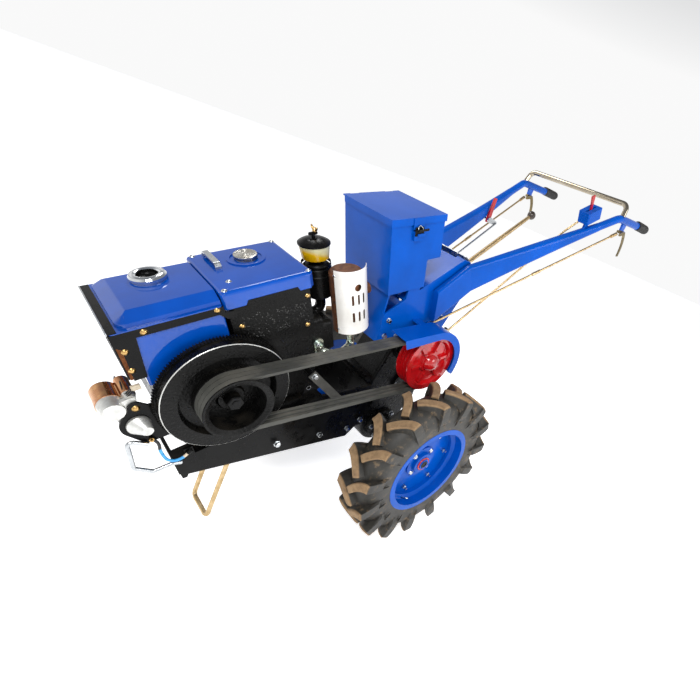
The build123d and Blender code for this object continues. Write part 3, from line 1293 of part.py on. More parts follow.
# ------------------------------------------------------------ toolbox and its lid
BOX_TOP = BOX_BOTTOM + TOOLBOX_HEIGHT
HINGE_RADIUS = 5.0
HINGE_PIN = 2.5
HINGE_Y = TOOLBOX_HALF + HINGE_RADIUS
HINGE_Z = BOX_TOP - 2.0
KNUCKLES = (BOX_FRONT + 20.0, BOX_FRONT + TOOLBOX_LENGTH - 50.0)      # of the box, 30 long
with BuildPart() as toolbox:
    with BuildSketch(Plane.XZ):
        with BuildLine():
            Polyline((BOX_FRONT, BOX_BOTTOM), (BOX_FRONT + 141, BOX_BOTTOM),
                     (BOX_FRONT + 143, BOX_BOTTOM + 90), (BOX_FRONT + TOOLBOX_LENGTH, BOX_BOTTOM + 92),
                     (BOX_FRONT + TOOLBOX_LENGTH, BOX_TOP), (BOX_FRONT, BOX_TOP), close=True)
        make_face()
    extrude(amount=TOOLBOX_HALF, both=True)
    offset(amount=-TOOLBOX_WALL, openings=toolbox.faces().sort_by(Axis.Z)[-1])
    # hinge knuckles on the right wall, and the latch plate on the left
    for start in KNUCKLES:
        with BuildSketch(Plane.YZ.offset(start)):
            with Locations((HINGE_Y, HINGE_Z)):
                Circle(HINGE_RADIUS)
            with Locations((TOOLBOX_HALF + 1, HINGE_Z - 7)):
                Rectangle(4, 14)
        extrude(amount=30)
    with BuildSketch(left(TOOLBOX_HALF)):
        with Locations((BOX_FRONT + 92, BOX_TOP - 48)):
            RectangleRounded(34, 28, 4)
    extrude(amount=8)
    with BuildSketch(left(TOOLBOX_HALF + 8)):
        with Locations((BOX_FRONT + 98, BOX_TOP - 44)):
            SlotCenterToCenter(20, 8)
    extrude(amount=6)
    # hinge pin, carried by the outer knuckles
    with BuildSketch(Plane.YZ.offset(KNUCKLES[0])):
        with Locations((HINGE_Y, HINGE_Z)):
            Circle(HINGE_PIN)
    extrude(amount=KNUCKLES[1] + 30 - KNUCKLES[0])
toolbox.part.locate(TOOLBOX)
toolbox.part.label = "toolbox"
export_step(toolbox.part, "parts/toolbox.step")

LIP = 2.2
LIP_GAP = 1.8
reach = LIP + LIP_GAP
with BuildPart() as toolbox_lid:
    with BuildSketch(Plane.XY.offset(BOX_TOP + LID_GAP)):
        with Locations((BOX_FRONT + TOOLBOX_LENGTH / 2, 0)):
            Rectangle(TOOLBOX_LENGTH + 2 * reach, 2 * TOOLBOX_HALF + 2 * reach)
        for start in KNUCKLES:
            with Locations((start + 15, TOOLBOX_HALF + reach)):
                Rectangle(32, 2 * reach + 4, mode=Mode.SUBTRACT)
    extrude(amount=LID_SHEET)
    # lips over the front, rear and left walls, and the tab over the latch
    middle_x = BOX_FRONT + TOOLBOX_LENGTH / 2
    lip_y = TOOLBOX_HALF + LIP_GAP + LIP / 2
    lip_x = TOOLBOX_LENGTH / 2 + LIP_GAP + LIP / 2
    with BuildSketch(Plane.XY.offset(BOX_TOP - LID_HEIGHT)):
        for x, y, width, depth in ((middle_x - lip_x, -reach, LIP, 2 * TOOLBOX_HALF),
                                   (middle_x + lip_x, -reach, LIP, 2 * TOOLBOX_HALF),
                                   (middle_x, -lip_y, TOOLBOX_LENGTH + 2 * reach, LIP)):
            with Locations((x, y)):
                Rectangle(width, depth)
    extrude(amount=LID_HEIGHT + LID_GAP + 1)
    with BuildSketch(left(TOOLBOX_HALF + reach)):
        with Locations((BOX_FRONT + 92, BOX_TOP - 12)):
            Rectangle(40, 32)
    extrude(amount=2.5)
    # knuckle between those of the box
    with BuildSketch(Plane.YZ.offset(KNUCKLES[0] + 31)):
        with Locations((HINGE_Y, HINGE_Z)):
            Circle(HINGE_RADIUS)
            Circle(HINGE_PIN + FIT, mode=Mode.SUBTRACT)
    extrude(amount=KNUCKLES[1] - KNUCKLES[0] - 32)
    with BuildSketch(Plane.YZ.offset(KNUCKLES[0])):
        with Locations((HINGE_Y, HINGE_Z)):
            Circle(HINGE_PIN + FIT)
    extrude(amount=KNUCKLES[1] + 30 - KNUCKLES[0], mode=Mode.SUBTRACT)
toolbox_lid.part.locate(TOOLBOX)
toolbox_lid.part.label = "toolbox_lid"
export_step(toolbox_lid.part, "parts/toolbox_lid.step")

# starter lead: held from the terminal on the bracket to the clip on the side plate
with BuildPart() as lead:
    radii = lead_radii(LEAD_ROUTE)
    print("starter lead, arc radii:", [round(radius, 1) for radius in radii])
    with BuildLine() as path:
        FilletPolyline(*LEAD_ROUTE, radius=radii)
    with BuildSketch(Plane(origin=path.line @ 0, z_dir=path.line % 0)):
        Circle(LEAD_RADIUS)
    sweep(path=path.line)
    length = sum(edge.length for edge in path.edges())
    print("starter lead, length:", round(length, 1), "volume over section by length:",
          round(lead.part.volume / (pi * LEAD_RADIUS ** 2 * length), 4))
lead.part.locate(ENGINE)
lead.part.label = "starter_lead"
export_step(lead.part, "parts/starter_lead.step")
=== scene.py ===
"""Walking tractor: the looks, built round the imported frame. Metres, +X to the rear, +Z up."""

import bmesh
import bpy
import numpy as np
from mathutils import Matrix, Vector


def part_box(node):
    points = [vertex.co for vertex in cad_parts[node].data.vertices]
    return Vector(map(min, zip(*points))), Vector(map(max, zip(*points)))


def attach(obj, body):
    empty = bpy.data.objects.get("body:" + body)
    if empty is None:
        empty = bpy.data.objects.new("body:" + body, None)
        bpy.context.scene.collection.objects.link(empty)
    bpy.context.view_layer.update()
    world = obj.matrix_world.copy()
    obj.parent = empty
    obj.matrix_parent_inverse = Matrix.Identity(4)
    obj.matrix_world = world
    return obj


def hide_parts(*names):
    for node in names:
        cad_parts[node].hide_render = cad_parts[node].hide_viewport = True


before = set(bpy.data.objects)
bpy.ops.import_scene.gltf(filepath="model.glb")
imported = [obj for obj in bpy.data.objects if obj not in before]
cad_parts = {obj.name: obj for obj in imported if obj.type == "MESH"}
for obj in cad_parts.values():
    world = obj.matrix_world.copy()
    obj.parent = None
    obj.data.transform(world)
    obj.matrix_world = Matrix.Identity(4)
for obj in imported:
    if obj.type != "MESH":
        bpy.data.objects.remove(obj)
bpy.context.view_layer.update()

# ------------------------------------------------------------------ studio
# A plain pale floor and a large soft light over the tractor's front left, as in a dealer's catalogue.
# The camera stands close, at chest height, and is turned about its own axis so that the nose dips.


def aimed(azimuth, dip, roll):
    """Rotation of a camera that looks `azimuth` degrees from +Y towards +X, `dip` below level, rolled."""
    a, d, r = np.radians([azimuth, dip, roll])
    forward = np.array([np.sin(a) * np.cos(d), np.cos(a) * np.cos(d), -np.sin(d)])
    level = np.array([np.cos(a), -np.sin(a), 0.0])
    above = np.cross(level, forward)
    right = level * np.cos(r) + above * np.sin(r)
    up = np.cross(right, forward)
    return Matrix(np.array([right, up, -forward]).T.tolist())


camera = bpy.data.objects.new("camera", bpy.data.cameras.new("camera"))
camera.data.lens = 21.43
camera.data.shift_x = -0.1629
camera.data.shift_y = 0.0353
camera.data.clip_start = 0.02
camera.matrix_world = Matrix.Translation((-1.1678, -1.0305, 1.2022)) @ aimed(56.878, 23.121, 22.468).to_4x4()
bpy.context.collection.objects.link(camera)
bpy.context.scene.camera = camera


def node(tree, kind, settings=None, links=None):
    """Adds one shader node. Settings are sockets, attributes or a ramp's "stops"; links are sources."""
    made = tree.nodes.new("ShaderNode" + kind)
    for name, value in (settings or {}).items():
        if name == "stops":
            for _ in value[2:]:
                made.color_ramp.elements.new(0.5)
            for element, (place, colour) in zip(made.color_ramp.elements, value):
                element.position = place
                element.color = colour
        elif name in made.inputs:
            made.inputs[name].default_value = value
        else:
            setattr(made, name, value)
    for name, source in (links or {}).items():
        tree.links.new(source, made.inputs[name])
    return made


def srgb(code):
    """sRGB hex to a linear colour."""
    value = np.array([int(code[i:i + 2], 16) for i in (0, 2, 4)]) / 255
    linear = np.where(value <= 0.04045, value / 12.92, ((value + 0.055) / 1.055) ** 2.4)
    return (*linear.tolist(), 1.0)


def blank(name):
    """A new material, its node tree and the shader in it."""
    made = bpy.data.materials.new(name)
    made.use_nodes = True
    return made, made.node_tree, made.node_tree.nodes["Principled BSDF"]


def shell(name, points, close_u=False, close_v=False, smooth=True):
    """Mesh of a grid of points (rows, columns, 3): each cell is a quad, and either way may close up."""
    rows, columns = points.shape[:2]
    u = np.arange(rows if close_u else rows - 1)
    v = np.arange(columns if close_v else columns - 1)
    a, b = np.meshgrid(u, v, indexing="ij")
    c, d = (a + 1) % rows, (b + 1) % columns
    quads = np.stack([a * columns + b, a * columns + d, c * columns + d, c * columns + b], -1).reshape(-1, 4)
    return solid(name, points.reshape(-1, 3), quads, smooth)


def solid(name, points, faces, smooth=False):
    """Mesh object of points and faces, merged where they meet, with its faces turned outwards."""
    mesh = bpy.data.meshes.new(name)
    mesh.from_pydata(np.asarray(points).tolist(), [], [tuple(f) for f in np.asarray(faces).tolist()])
    work = bmesh.new()
    work.from_mesh(mesh)
    bmesh.ops.remove_doubles(work, verts=work.verts, dist=1e-6)
    bmesh.ops.recalc_face_normals(work, faces=work.faces)
    work.to_mesh(mesh)
    work.free()
    mesh.polygons.foreach_set("use_smooth", np.full(len(mesh.polygons), smooth))
    made = bpy.data.objects.new(name, mesh)
    bpy.context.collection.objects.link(made)
    return made


reach = np.array([-25.0, 25.0])                 # metres from the middle to an edge of the floor
x, y = np.meshgrid(reach, reach, indexing="ij")
floor = shell("floor", np.stack([x, y, np.zeros_like(x)], -1))
# matt painted board: near white, with a faint unevenness 400 mm across
board, tree, skin = blank("matt_white_board")
where = node(tree, "TexCoord")
drift = node(tree, "TexNoise", {"Scale": 2.5, "Detail": 2.0}, {"Vector": where.outputs["Object"]})
tone = node(tree, "ValToRGB", {"stops": [(0.3, srgb("fbfbfa")), (0.7, srgb("ffffff"))]},
            {"Fac": drift.outputs["Fac"]})
tree.links.new(tone.outputs["Color"], skin.inputs["Base Color"])
skin.inputs["Roughness"].default_value = 0.95
skin.inputs["Emission Color"].default_value = (1.0, 1.0, 1.0, 1.0)
skin.inputs["Emission Strength"].default_value = 0.6
floor.data.materials.append(board)

world = bpy.data.worlds.new("studio")
world.use_nodes = True
# white walls to about 20 degrees up, then a grey ceiling, so that the enamel keeps its depth
tree = world.node_tree
height = node(tree, "SeparateXYZ", None, {"Vector": node(tree, "TexCoord").outputs["Generated"]})
white = (1.0, 1.0, 1.0, 1.0)
grey, dark_grey = (0.34, 0.35, 0.37, 1.0), (0.22, 0.23, 0.25, 1.0)
walls = node(tree, "ValToRGB", {"stops": [(0.0, white), (0.3, white), (0.58, grey), (1.0, dark_grey)]},
             {"Fac": height.outputs["Z"]})
tree.links.new(walls.outputs["Color"], tree.nodes["Background"].inputs["Color"])
tree.nodes["Background"].inputs["Strength"].default_value = 0.95
bpy.context.scene.world = world
bpy.context.scene.view_settings.view_transform = "Standard"
LAMPS = (("key", (-1.9, -1.6, 2.7), 1.0, 58.0),         # place, width of the panel in metres, watts
         ("fill", (0.9, -2.4, 1.8), 1.4, 34.0),
         ("back", (-0.3, 1.5, 3.0), 1.0, 30.0))
for name, place, size, power in LAMPS:
    lamp = bpy.data.objects.new(name, bpy.data.lights.new(name, "AREA"))
    lamp.data.size = size
    lamp.data.energy = power
    lamp.location = place
    lamp.rotation_euler = (Vector((-0.4, 0.0, 0.55)) - Vector(place)).to_track_quat("-Z", "Y").to_euler()
    bpy.context.collection.objects.link(lamp)

# ------------------------------------------------------------------ wheels
# 5.00-12 cross-ply field tyre, moulded from natural rubber, with two rows of fifteen bars, 25 mm high and at
# about 45 degrees. Dry clay has stayed on them. The rim is pressed sheet in blue enamel, with a bolted disc.
SHIFT = -0.1435                 # metres from the axle to the middle of the machine's length
AXLE_HEIGHT = 296.0
WHEEL_MIDDLE = 325.0            # from the middle of the machine to the middle of a tyre


def machine(x, y, z):
    """Millimetres from the axle line, floor and middle plane to metres in the frame."""
    x, y, z = np.asarray(x) / 1000 + SHIFT, np.asarray(y) / 1000, np.asarray(z) / 1000
    return np.stack(np.broadcast_arrays(x, y, z), -1)


CARCASS = 271.0                 # radius of the tyre between the bars
BAR_TOP = 295.6                 # radius over the bars
BARS = 15                       # in each of the two rows
BEAD = 172.0                    # radius at which the sidewall meets the rim


def round_wheel(turn, out, radius, side):
    """Angle from the top towards the rear, mm outwards from the wheel's middle, and radius, to the frame.

    x is radius times the sine, and z the axle's height plus radius times the cosine."""
    turn, out, radius = np.broadcast_arrays(turn, out, radius)
    return machine(radius * np.sin(turn), side * (WHEEL_MIDDLE + out), AXLE_HEIGHT + radius * np.cos(turn))


rubber, tree, skin = blank("field_tyre_rubber")
where = node(tree, "TexCoord")
centred = node(tree, "Mapping", {"Location": (-SHIFT, 0.0, -AXLE_HEIGHT / 1000)},
               {"Vector": where.outputs["Object"]})
axes = node(tree, "SeparateXYZ", None, {"Vector": centred.outputs["Vector"]})
flat = node(tree, "CombineXYZ", None, {"X": axes.outputs["X"], "Z": axes.outputs["Z"]})
radial = node(tree, "VectorMath", {"operation": "LENGTH"})
tree.links.new(flat.outputs["Vector"], radial.inputs[0])
# clay: full on the bar tops beyond 288 mm, patches of it about 20 mm across lower down
clay = node(tree, "TexNoise", {"Scale": 45.0, "Detail": 5.0, "Roughness": 0.65},
            {"Vector": where.outputs["Object"]})
high = node(tree, "MapRange", {"From Min": 0.2865, "From Max": 0.2905, "To Max": 1.0},
            {"Value": radial.outputs["Value"]})
specks = node(tree, "MapRange", {"From Min": 0.56, "From Max": 0.74, "To Max": 0.42},
              {"Value": clay.outputs["Fac"]})
share = node(tree, "Math", {"operation": "MAXIMUM"})
tree.links.new(high.outputs["Result"], share.inputs[0])
tree.links.new(specks.outputs["Result"], share.inputs[1])
dark = node(tree, "ValToRGB", {"stops": [(0.3, srgb("23221f")), (0.7, srgb("35322c"))]},
            {"Fac": clay.outputs["Fac"]})
tan = node(tree, "ValToRGB",
           {"stops": [(0.25, srgb("6e583f")), (0.5, srgb("8c7152")), (0.8, srgb("a08562"))]},
           {"Fac": clay.outputs["Fac"]})
mixed = node(tree, "MixRGB", None,
             {"Fac": share.outputs[0], "Color1": dark.outputs["Color"], "Color2": tan.outputs["Color"]})
tree.links.new(mixed.outputs["Color"], skin.inputs["Base Color"])
fine = node(tree, "TexNoise", {"Scale": 420.0, "Detail": 3.0}, {"Vector": where.outputs["Object"]})
bump = node(tree, "Bump", {"Strength": 0.5, "Distance": 0.0006}, {"Height": fine.outputs["Fac"]})
tree.links.new(bump.outputs["Normal"], skin.inputs["Normal"])
worn = node(tree, "MapRange", {"To Min": 0.55, "To Max": 0.9}, {"Value": share.outputs[0]})
tree.links.new(worn.outputs["Result"], skin.inputs["Roughness"])


def finish(name, colour, drift_colour, roughness, *, grain, depth, mottle, metallic=0.0, dust="9a8a72",
           dust_share=0.25, coat=0.0, wear=0.12, shine=0.5):
    """Finish whose tone drifts over `mottle` mm, with a grain of `grain` by `depth` mm, and dust on top.

    The tone is a ramp over a slow noise, and the bump is a fine one. Dust lies where the surface faces up and
    the slow noise is high. Roughness goes up and down by `wear` with the same noise."""
    made, tree, skin = blank(name)
    where = node(tree, "TexCoord")
    slow = node(tree, "TexNoise", {"Scale": 1000 / mottle, "Detail": 4.0, "Roughness": 0.6},
                {"Vector": where.outputs["Object"]})
    fast = node(tree, "TexNoise", {"Scale": 1000 / grain, "Detail": 2.0},
                {"Vector": where.outputs["Object"]})
    tone = node(tree, "ValToRGB", {"stops": [(0.32, srgb(colour)), (0.68, srgb(drift_colour))]},
                {"Fac": slow.outputs["Fac"]})
    facing = node(tree, "SeparateXYZ", None, {"Vector": node(tree, "NewGeometry").outputs["Normal"]})
    flat = node(tree, "MapRange", {"From Min": 0.55, "From Max": 1.0}, {"Value": facing.outputs["Z"]})
    patch = node(tree, "MapRange", {"From Min": 0.42, "From Max": 0.68, "To Max": dust_share},
                 {"Value": slow.outputs["Fac"]})
    laid = node(tree, "Math", {"operation": "MULTIPLY"})
    tree.links.new(flat.outputs["Result"], laid.inputs[0])
    tree.links.new(patch.outputs["Result"], laid.inputs[1])
    dusty = node(tree, "MixRGB", {"Color2": srgb(dust)},
                 {"Fac": laid.outputs[0], "Color1": tone.outputs["Color"]})
    tree.links.new(dusty.outputs["Color"], skin.inputs["Base Color"])
    rough = node(tree, "MapRange", {"From Min": 0.3, "From Max": 0.7, "To Min": max(roughness - wear, 0.03),
                                    "To Max": min(roughness + wear, 1.0)}, {"Value": slow.outputs["Fac"]})
    tree.links.new(rough.outputs["Result"], skin.inputs["Roughness"])
    bump = node(tree, "Bump", {"Strength": 0.8, "Distance": depth / 1000}, {"Height": fast.outputs["Fac"]})
    tree.links.new(bump.outputs["Normal"], skin.inputs["Normal"])
    skin.inputs["Metallic"].default_value = metallic
    skin.inputs["Coat Weight"].default_value = coat
    skin.inputs["Coat Roughness"].default_value = 0.05
    skin.inputs["Specular IOR Level"].default_value = shine
    return made


def clad(material, *names):
    """Gives CAD nodes or new pieces their finish."""
    for name in names:
        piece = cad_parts.get(name) or bpy.data.objects[name]
        piece.data.materials.clear()
        piece.data.materials.append(material)


def fit(body, material, *pieces):
    """Gives new pieces their finish, and fixes them to a body."""
    clad(material, *(piece.name for piece in pieces))
    for piece in pieces:
        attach(piece, body)


# gloss alkyd enamel over sheet: even royal blue, orange peel 3 mm across, near mirror where clean
blue_enamel = finish("blue_alkyd_enamel", "0050b4", "00469e", 0.22, grain=3.0, depth=0.04,
                     mottle=150, dust="1f58b4", dust_share=0.12, coat=0.06, wear=0.05, shine=0.1)
silver_zinc = finish("bright_zinc_plate", "c9ccce", "b4b8bb", 0.27, metallic=1.0, grain=2.0,
                     depth=0.004, mottle=25)
red_enamel = finish("red_gloss_enamel", "c01016", "9c0a10", 0.14, grain=3.0, depth=0.04,
                    mottle=60, dust="a05a50", coat=0.5, wear=0.05)
black_enamel = finish("black_brushed_enamel", "080808", "101010", 0.3, grain=1.6, depth=0.12,
                      mottle=50, dust="4a4338", dust_share=0.15, shine=0.14)


def lathe(name, profile, at, axis, sides=32, smooth=True):
    """Profile (radius, height) in mm turned about an axis n: at + radius * (p cos t + q sin t) + height * n.

    p and q are square to n. A profile that ends on the axis is closed there."""
    n = np.asarray(axis, float) / np.linalg.norm(axis)
    p = np.cross(n, (0.0, 0.0, 1.0) if abs(n[2]) < 0.9 else (1.0, 0.0, 0.0))
    p /= np.linalg.norm(p)
    q = np.cross(n, p)
    turn = np.linspace(0, 2 * np.pi, sides, endpoint=False)
    r, h = np.asarray(profile, float).T / 1000
    ring = np.cos(turn)[:, None] * p + np.sin(turn)[:, None] * q
    points = np.asarray(at) + r[None, :, None] * ring[:, None, :] + h[None, :, None] * n
    return shell(name, points, close_u=True, smooth=smooth)


def bolts(name, places, axes, across, dome=False, stud=0.0):
    """Hexagon or dome heads: a grid of rings (radius, height) on each place, all in one array.

    Radii and heights are shares of half the width across the flats. A stud ends `stud` mm above them."""
    a = across / 2000
    flat, top = 1.3, 1.42                           # height of the flats, and with the chamfer over them
    if dome:
        rings = [(1.25, 0.0), (1.25, 0.08), (1.0, 0.12), (0.98, 0.3), (0.75, 0.52), (0.4, 0.64), (0.0, 0.68)]
        count = 12
    elif stud:
        end = flat + stud / a / 1000
        rings = [(1.1, 0.0), (1.15, 0.1), (1.15, flat), (1.0, top), (0.55, top), (0.55, end), (0.0, end)]
        count = 6
    else:
        rings = [(1.5, 0.0), (1.5, 0.12), (1.15, 0.12), (1.15, flat), (0.95, top), (0.0, top)]
        count = 6
    r, h = np.array(rings).T * a
    turn = np.arange(count) * 2 * np.pi / count
    places = np.asarray(places, float).reshape(-1, 3)
    n = np.broadcast_to(np.asarray(axes, float), places.shape)
    n = n / np.linalg.norm(n, axis=1, keepdims=True)
    p = np.cross(n, np.where(np.abs(n[:, 2:]) < 0.9, [[0.0, 0.0, 1.0]], [[1.0, 0.0, 0.0]]))
    p /= np.linalg.norm(p, axis=1, keepdims=True)
    q = np.cross(n, p)
    ring = np.cos(turn)[None, :, None] * p[:, None] + np.sin(turn)[None, :, None] * q[:, None]
    points = places[:, None, None] + r[None, None, :, None] * ring[:, :, None]
    points = points + h[None, None, :, None] * n[:, None, None]
    k, i, j = np.meshgrid(np.arange(len(places)), np.arange(count), np.arange(len(rings) - 1), indexing="ij")
    base, i2, m = k * count * len(rings), (i + 1) % count, len(rings)
    quads = np.stack([base + i * m + j, base + i * m + j + 1, base + i2 * m + j + 1, base + i2 * m + j], -1)
    return solid(name, points.reshape(-1, 3), quads.reshape(-1, 4), smooth=dome)


def tube(name, line, radius, sides=12):
    """Round section carried along a line of points: line + radius * (p cos t + q sin t).

    p and q are square to the line, and a ring of no radius at each end closes the tube."""
    line = np.asarray(line, float)
    along = np.gradient(line, axis=0)
    along /= np.linalg.norm(along, axis=1, keepdims=True)
    p = np.cross(along, (0.31, 0.87, 0.38))
    p /= np.linalg.norm(p, axis=1, keepdims=True)
    q = np.cross(along, p)
    turn = np.linspace(0, 2 * np.pi, sides, endpoint=False)
    radius = np.broadcast_to(np.asarray(radius, float) / 1000, len(line))
    line = np.vstack([line[:1], line, line[-1:]])
    radius = np.concatenate([[0.0], radius, [0.0]])
    p, q = (np.vstack([w[:1], w, w[-1:]]) for w in (p, q))
    ring = np.cos(turn)[None, :, None] * p[:, None] + np.sin(turn)[None, :, None] * q[:, None]
    return shell(name, line[:, None] + radius[:, None, None] * ring, close_v=True)


for side, hand in ((-1, "left"), (1, "right")):
    # carcass: width by a cosine, height by a flattened sine, pinched towards the beads; three ribs a side
    t = np.linspace(0, np.pi, 44)
    out = 69 * np.cos(t) - 11 * np.cos(t) * (1 - np.sin(t)) ** 2
    radius = BEAD + (CARCASS - BEAD) * np.sin(t) ** 0.62
    rib = sum(np.exp(-(((radius - r0) / 2.2) ** 2)) for r0 in (186, 193, 214))
    out = out + np.sign(np.cos(t)) * 1.6 * rib
    out = np.concatenate([[50.0, 55.0], out, [-55.0, -50.0]])
    radius = np.concatenate([[158.0, 158.0], radius, [158.0, 158.0]])
    turn = np.linspace(0, 2 * np.pi, 128, endpoint=False)[:, None]
    tyre = shell(f"tyre_carcass_{hand}", round_wheel(turn, out, radius, side), close_u=True, close_v=True)
    # bars: a flat-topped section across a path that leaves the middle along the tread, then bends outwards
    tread_radius = 283.0                            # at which lengths along the tread become angles
    s = np.linspace(0, 1, 12)
    lie = np.concatenate([-7 + 72 * s, [68.5, 70.5, 71.0, 69.5]])   # mm from the middle, then down the side
    sweep = 60 * (1 - (1 - s) ** 1.7)                               # mm along the tread
    sweep = np.concatenate([sweep, sweep[-1] + np.array([0.5, 0.8, 1.0, 1.0])])
    top = np.concatenate([BAR_TOP - 1.5 * (s == 0) - 3.0 * s**4, [288.0, 272.0, 250.0, 226.0]])
    outer = slice(2, 24)                            # from one bead to the middle of the tread
    order = np.argsort(out[outer])
    foot = np.interp(np.minimum(lie, 68), out[outer][order], radius[outer][order]) - 5
    foot = np.concatenate([foot[:12], [236.0, 230.0, 222.0, 212.0]])
    inward = np.concatenate([np.zeros(12), [8.0, 11.0, 11.5, 9.0]])     # how far the foot lies in the shell
    half = 11 + 2.5 * np.clip(lie / 66, 0, 1) + np.concatenate([np.zeros(12), [1.0, 2.0, 3.0, 4.0]])
    half = half[:, None] * np.array([1.42, 1.1, 0.92, -0.92, -1.1, -1.42])
    shoulder = np.concatenate([np.full(12, 3.0), [2.0, 0.5, 0.0, 0.0]])
    height = np.stack([foot, top - shoulder, top, top, top - shoulder, foot], 1)
    steer = np.stack([np.gradient(lie), np.gradient(sweep)], 1)
    steer[12:] = steer[11]
    steer /= np.linalg.norm(steer, axis=1, keepdims=True)
    across_lie = lie[:, None] - half * steer[:, 1:] * (np.arange(16) < 12)[:, None]
    across_lie = across_lie - inward[:, None] * np.array([1.0, 0.0, 0.0, 0.0, 0.0, 1.0])
    across_sweep = sweep[:, None] + half * steer[:, :1]
    grids = []
    for row in (1, -1):
        start = (np.arange(BARS) + (0.5 if row < 0 else 0.0)) * 2 * np.pi / BARS
        angle = start[:, None, None] + across_sweep / tread_radius
        grids.append(round_wheel(angle, row * np.minimum(across_lie, 71.0), height, side))
    bars = np.concatenate(grids)
    count, length, wide = bars.shape[:3]
    k, i, j = np.meshgrid(np.arange(count), np.arange(length - 1), np.arange(wide - 1), indexing="ij")
    first = (k * length + i) * wide + j
    quads = np.stack([first, first + 1, first + wide + 1, first + wide], -1).reshape(-1, 4).tolist()
    for end in (0, length - 1):
        ring = (np.arange(count)[:, None] * length + end) * wide + np.arange(wide)
        quads += ring.tolist()
    mesh = bpy.data.meshes.new("bars")
    mesh.from_pydata(bars.reshape(-1, 3).tolist(), [], quads)
    lugs = bpy.data.objects.new(f"tyre_bars_{hand}", mesh)
    bpy.context.collection.objects.link(lugs)
    work = bmesh.new()
    work.from_mesh(mesh)
    bmesh.ops.recalc_face_normals(work, faces=work.faces)
    work.to_mesh(mesh)
    work.free()
    edge = lugs.modifiers.new("edge", "BEVEL")
    edge.width = 0.0016
    edge.segments = 2
    edge.limit_method = "ANGLE"
    fit(f"wheel_{hand}", rubber, tyre, lugs)
    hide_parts(f"tyre_{hand}")
    clad(blue_enamel, f"rim_{hand}")
    # six disc bolts with their nuts, four hub nuts, and a red thrower ring round the end of the shaft
    turn = np.radians(np.arange(6) * 60 + 20)
    discs = bolts(f"disc_bolts_{hand}", round_wheel(turn, 3.0, 113.0, side), (0, side, 0), 14, stud=9)
    turn = np.radians(np.arange(4) * 90 + 40)
    hubs = bolts(f"hub_nuts_{hand}", round_wheel(turn, 9.0, 52.0, side), (0, side, 0), 17, dome=True)
    middle = round_wheel(0.0, 0.0, 0.0, side)
    ring = [(20.2, 19), (26, 19), (27, 21), (26, 23.5), (20.2, 23.5), (20.2, 19)]
    thrower = lathe(f"shaft_ring_{hand}", ring, middle, (0, side, 0))
    hexagon = [(0, 26.2), (8, 26.2), (9, 27.6), (15, 27.6), (16, 26.0)]
    plug = lathe(f"shaft_end_{hand}", hexagon, middle, (0, side, 0), 6, smooth=False)
    stem = round_wheel(np.radians([200, 200, 200]), np.array([22.0, 34, 46]), np.array([150.0, 141, 133]),
                       side)
    valve = tube(f"valve_{hand}", stem, [3.5, 3.2, 2.4])
    fit(f"wheel_{hand}", silver_zinc, discs, hubs, valve)
    fit(f"wheel_{hand}", red_enamel, thrower)
    fit(f"wheel_{hand}", black_enamel, plug)

# ------------------------------------------------------------------ frame and gearbox
# Welded channel chassis in brushed black enamel. The gearbox, axle housings and hitch are sand castings,
# painted black as they came from the sand, and held by zinc-plated M10 and M12 screws.
clad(black_enamel, "chassis_frame")
# sand cast iron painted black: the skin is pebbled, 4.5 mm coarse so that it shows
cast_black = finish("black_painted_cast_iron", "060606", "0f0f0e", 0.3, grain=4.5,
                    depth=2.2, mottle=40, dust="4a4338", dust_share=0.2, shine=0.16)
clad(cast_black, "gearbox", "axle_housing_left", "axle_housing_right", "clutch_housing", "hitch_bracket")
turn = np.radians(np.arange(6) * 60 + 30)
for side, hand in ((-1, "left"), (1, "right")):
    ring = machine(53 * np.sin(turn), side * 98, AXLE_HEIGHT + 53 * np.cos(turn))
    flange = bolts(f"axle_flange_bolts_{hand}", ring, (0, side, 0), 14)
    cover = machine(48 + 37 * np.sin(turn), side * 88, 470 + 37 * np.cos(turn))
    plate = bolts(f"gearbox_cover_bolts_{hand}", cover, (0, side, 0), 10)
    x, z = np.array([[-440, 345], [-300, 345], [-195, 345], [-150, 372]]).T
    rail = bolts(f"frame_bolts_{hand}", machine(x, side * 128, z), (0, side, 0), 14)
    fit("machine", silver_zinc, flange, plate, rail)

# ------------------------------------------------------------------ engine block and hopper
# Grey iron block, sand cast in one with its water hopper and painted black, with a pebbled skin. The head is
# bolted to its rear end, and the block stands on the inward flanges of two folded plates in black enamel.
ENGINE_LEAN = np.radians(19.7)
CRANK_X, CRANK_Z = -605.0, 557.0                # crankshaft, from the axle and the floor


def engine(x, y, z):
    """Millimetres from the crankshaft, in the engine's own axes, which dip 19.7 degrees at the nose."""
    x, y, z = np.broadcast_arrays(*(np.asarray(q, float) for q in (x, y, z)))
    c, s = np.cos(ENGINE_LEAN), np.sin(ENGINE_LEAN)
    return machine(x * c - z * s + CRANK_X, y, x * s + z * c + CRANK_Z)


clad(cast_black, "engine_block", "cylinder_head")
clad(black_enamel, "engine_frame_left", "engine_frame_right")
# passivated steel dome screws, brass in colour
PLATE_LEFT, PLATE_RIGHT = -108, 128             # outer faces that the screws sit on
x, z = np.array([-106, 36, -149, -152]), np.array([204, 208, 171, 124])
left = bolts("side_screws_brass", engine(x, PLATE_LEFT, z), (0, -1, 0), 11, dome=True)
right = bolts("side_screws_right", engine(x, PLATE_RIGHT, z), (0, 1, 0), 11, dome=True)
x, z = np.array([[79, 148], [250, 180], [240, 96]]).T
hopper = bolts("hopper_screws", engine(x, -104, z), (0, -1, 0), 11, dome=True)
plate = bolts("starter_plate_screws", engine(-176, -114, 33), (0, -1, 0), 13, dome=True)
brass_screw = finish("yellow_passivated_screw", "d0aa6c", "b8945c", 0.28, metallic=1.0,
                     grain=2.0, depth=0.004, mottle=12)
fit("machine", brass_screw, left, right, hopper, plate)


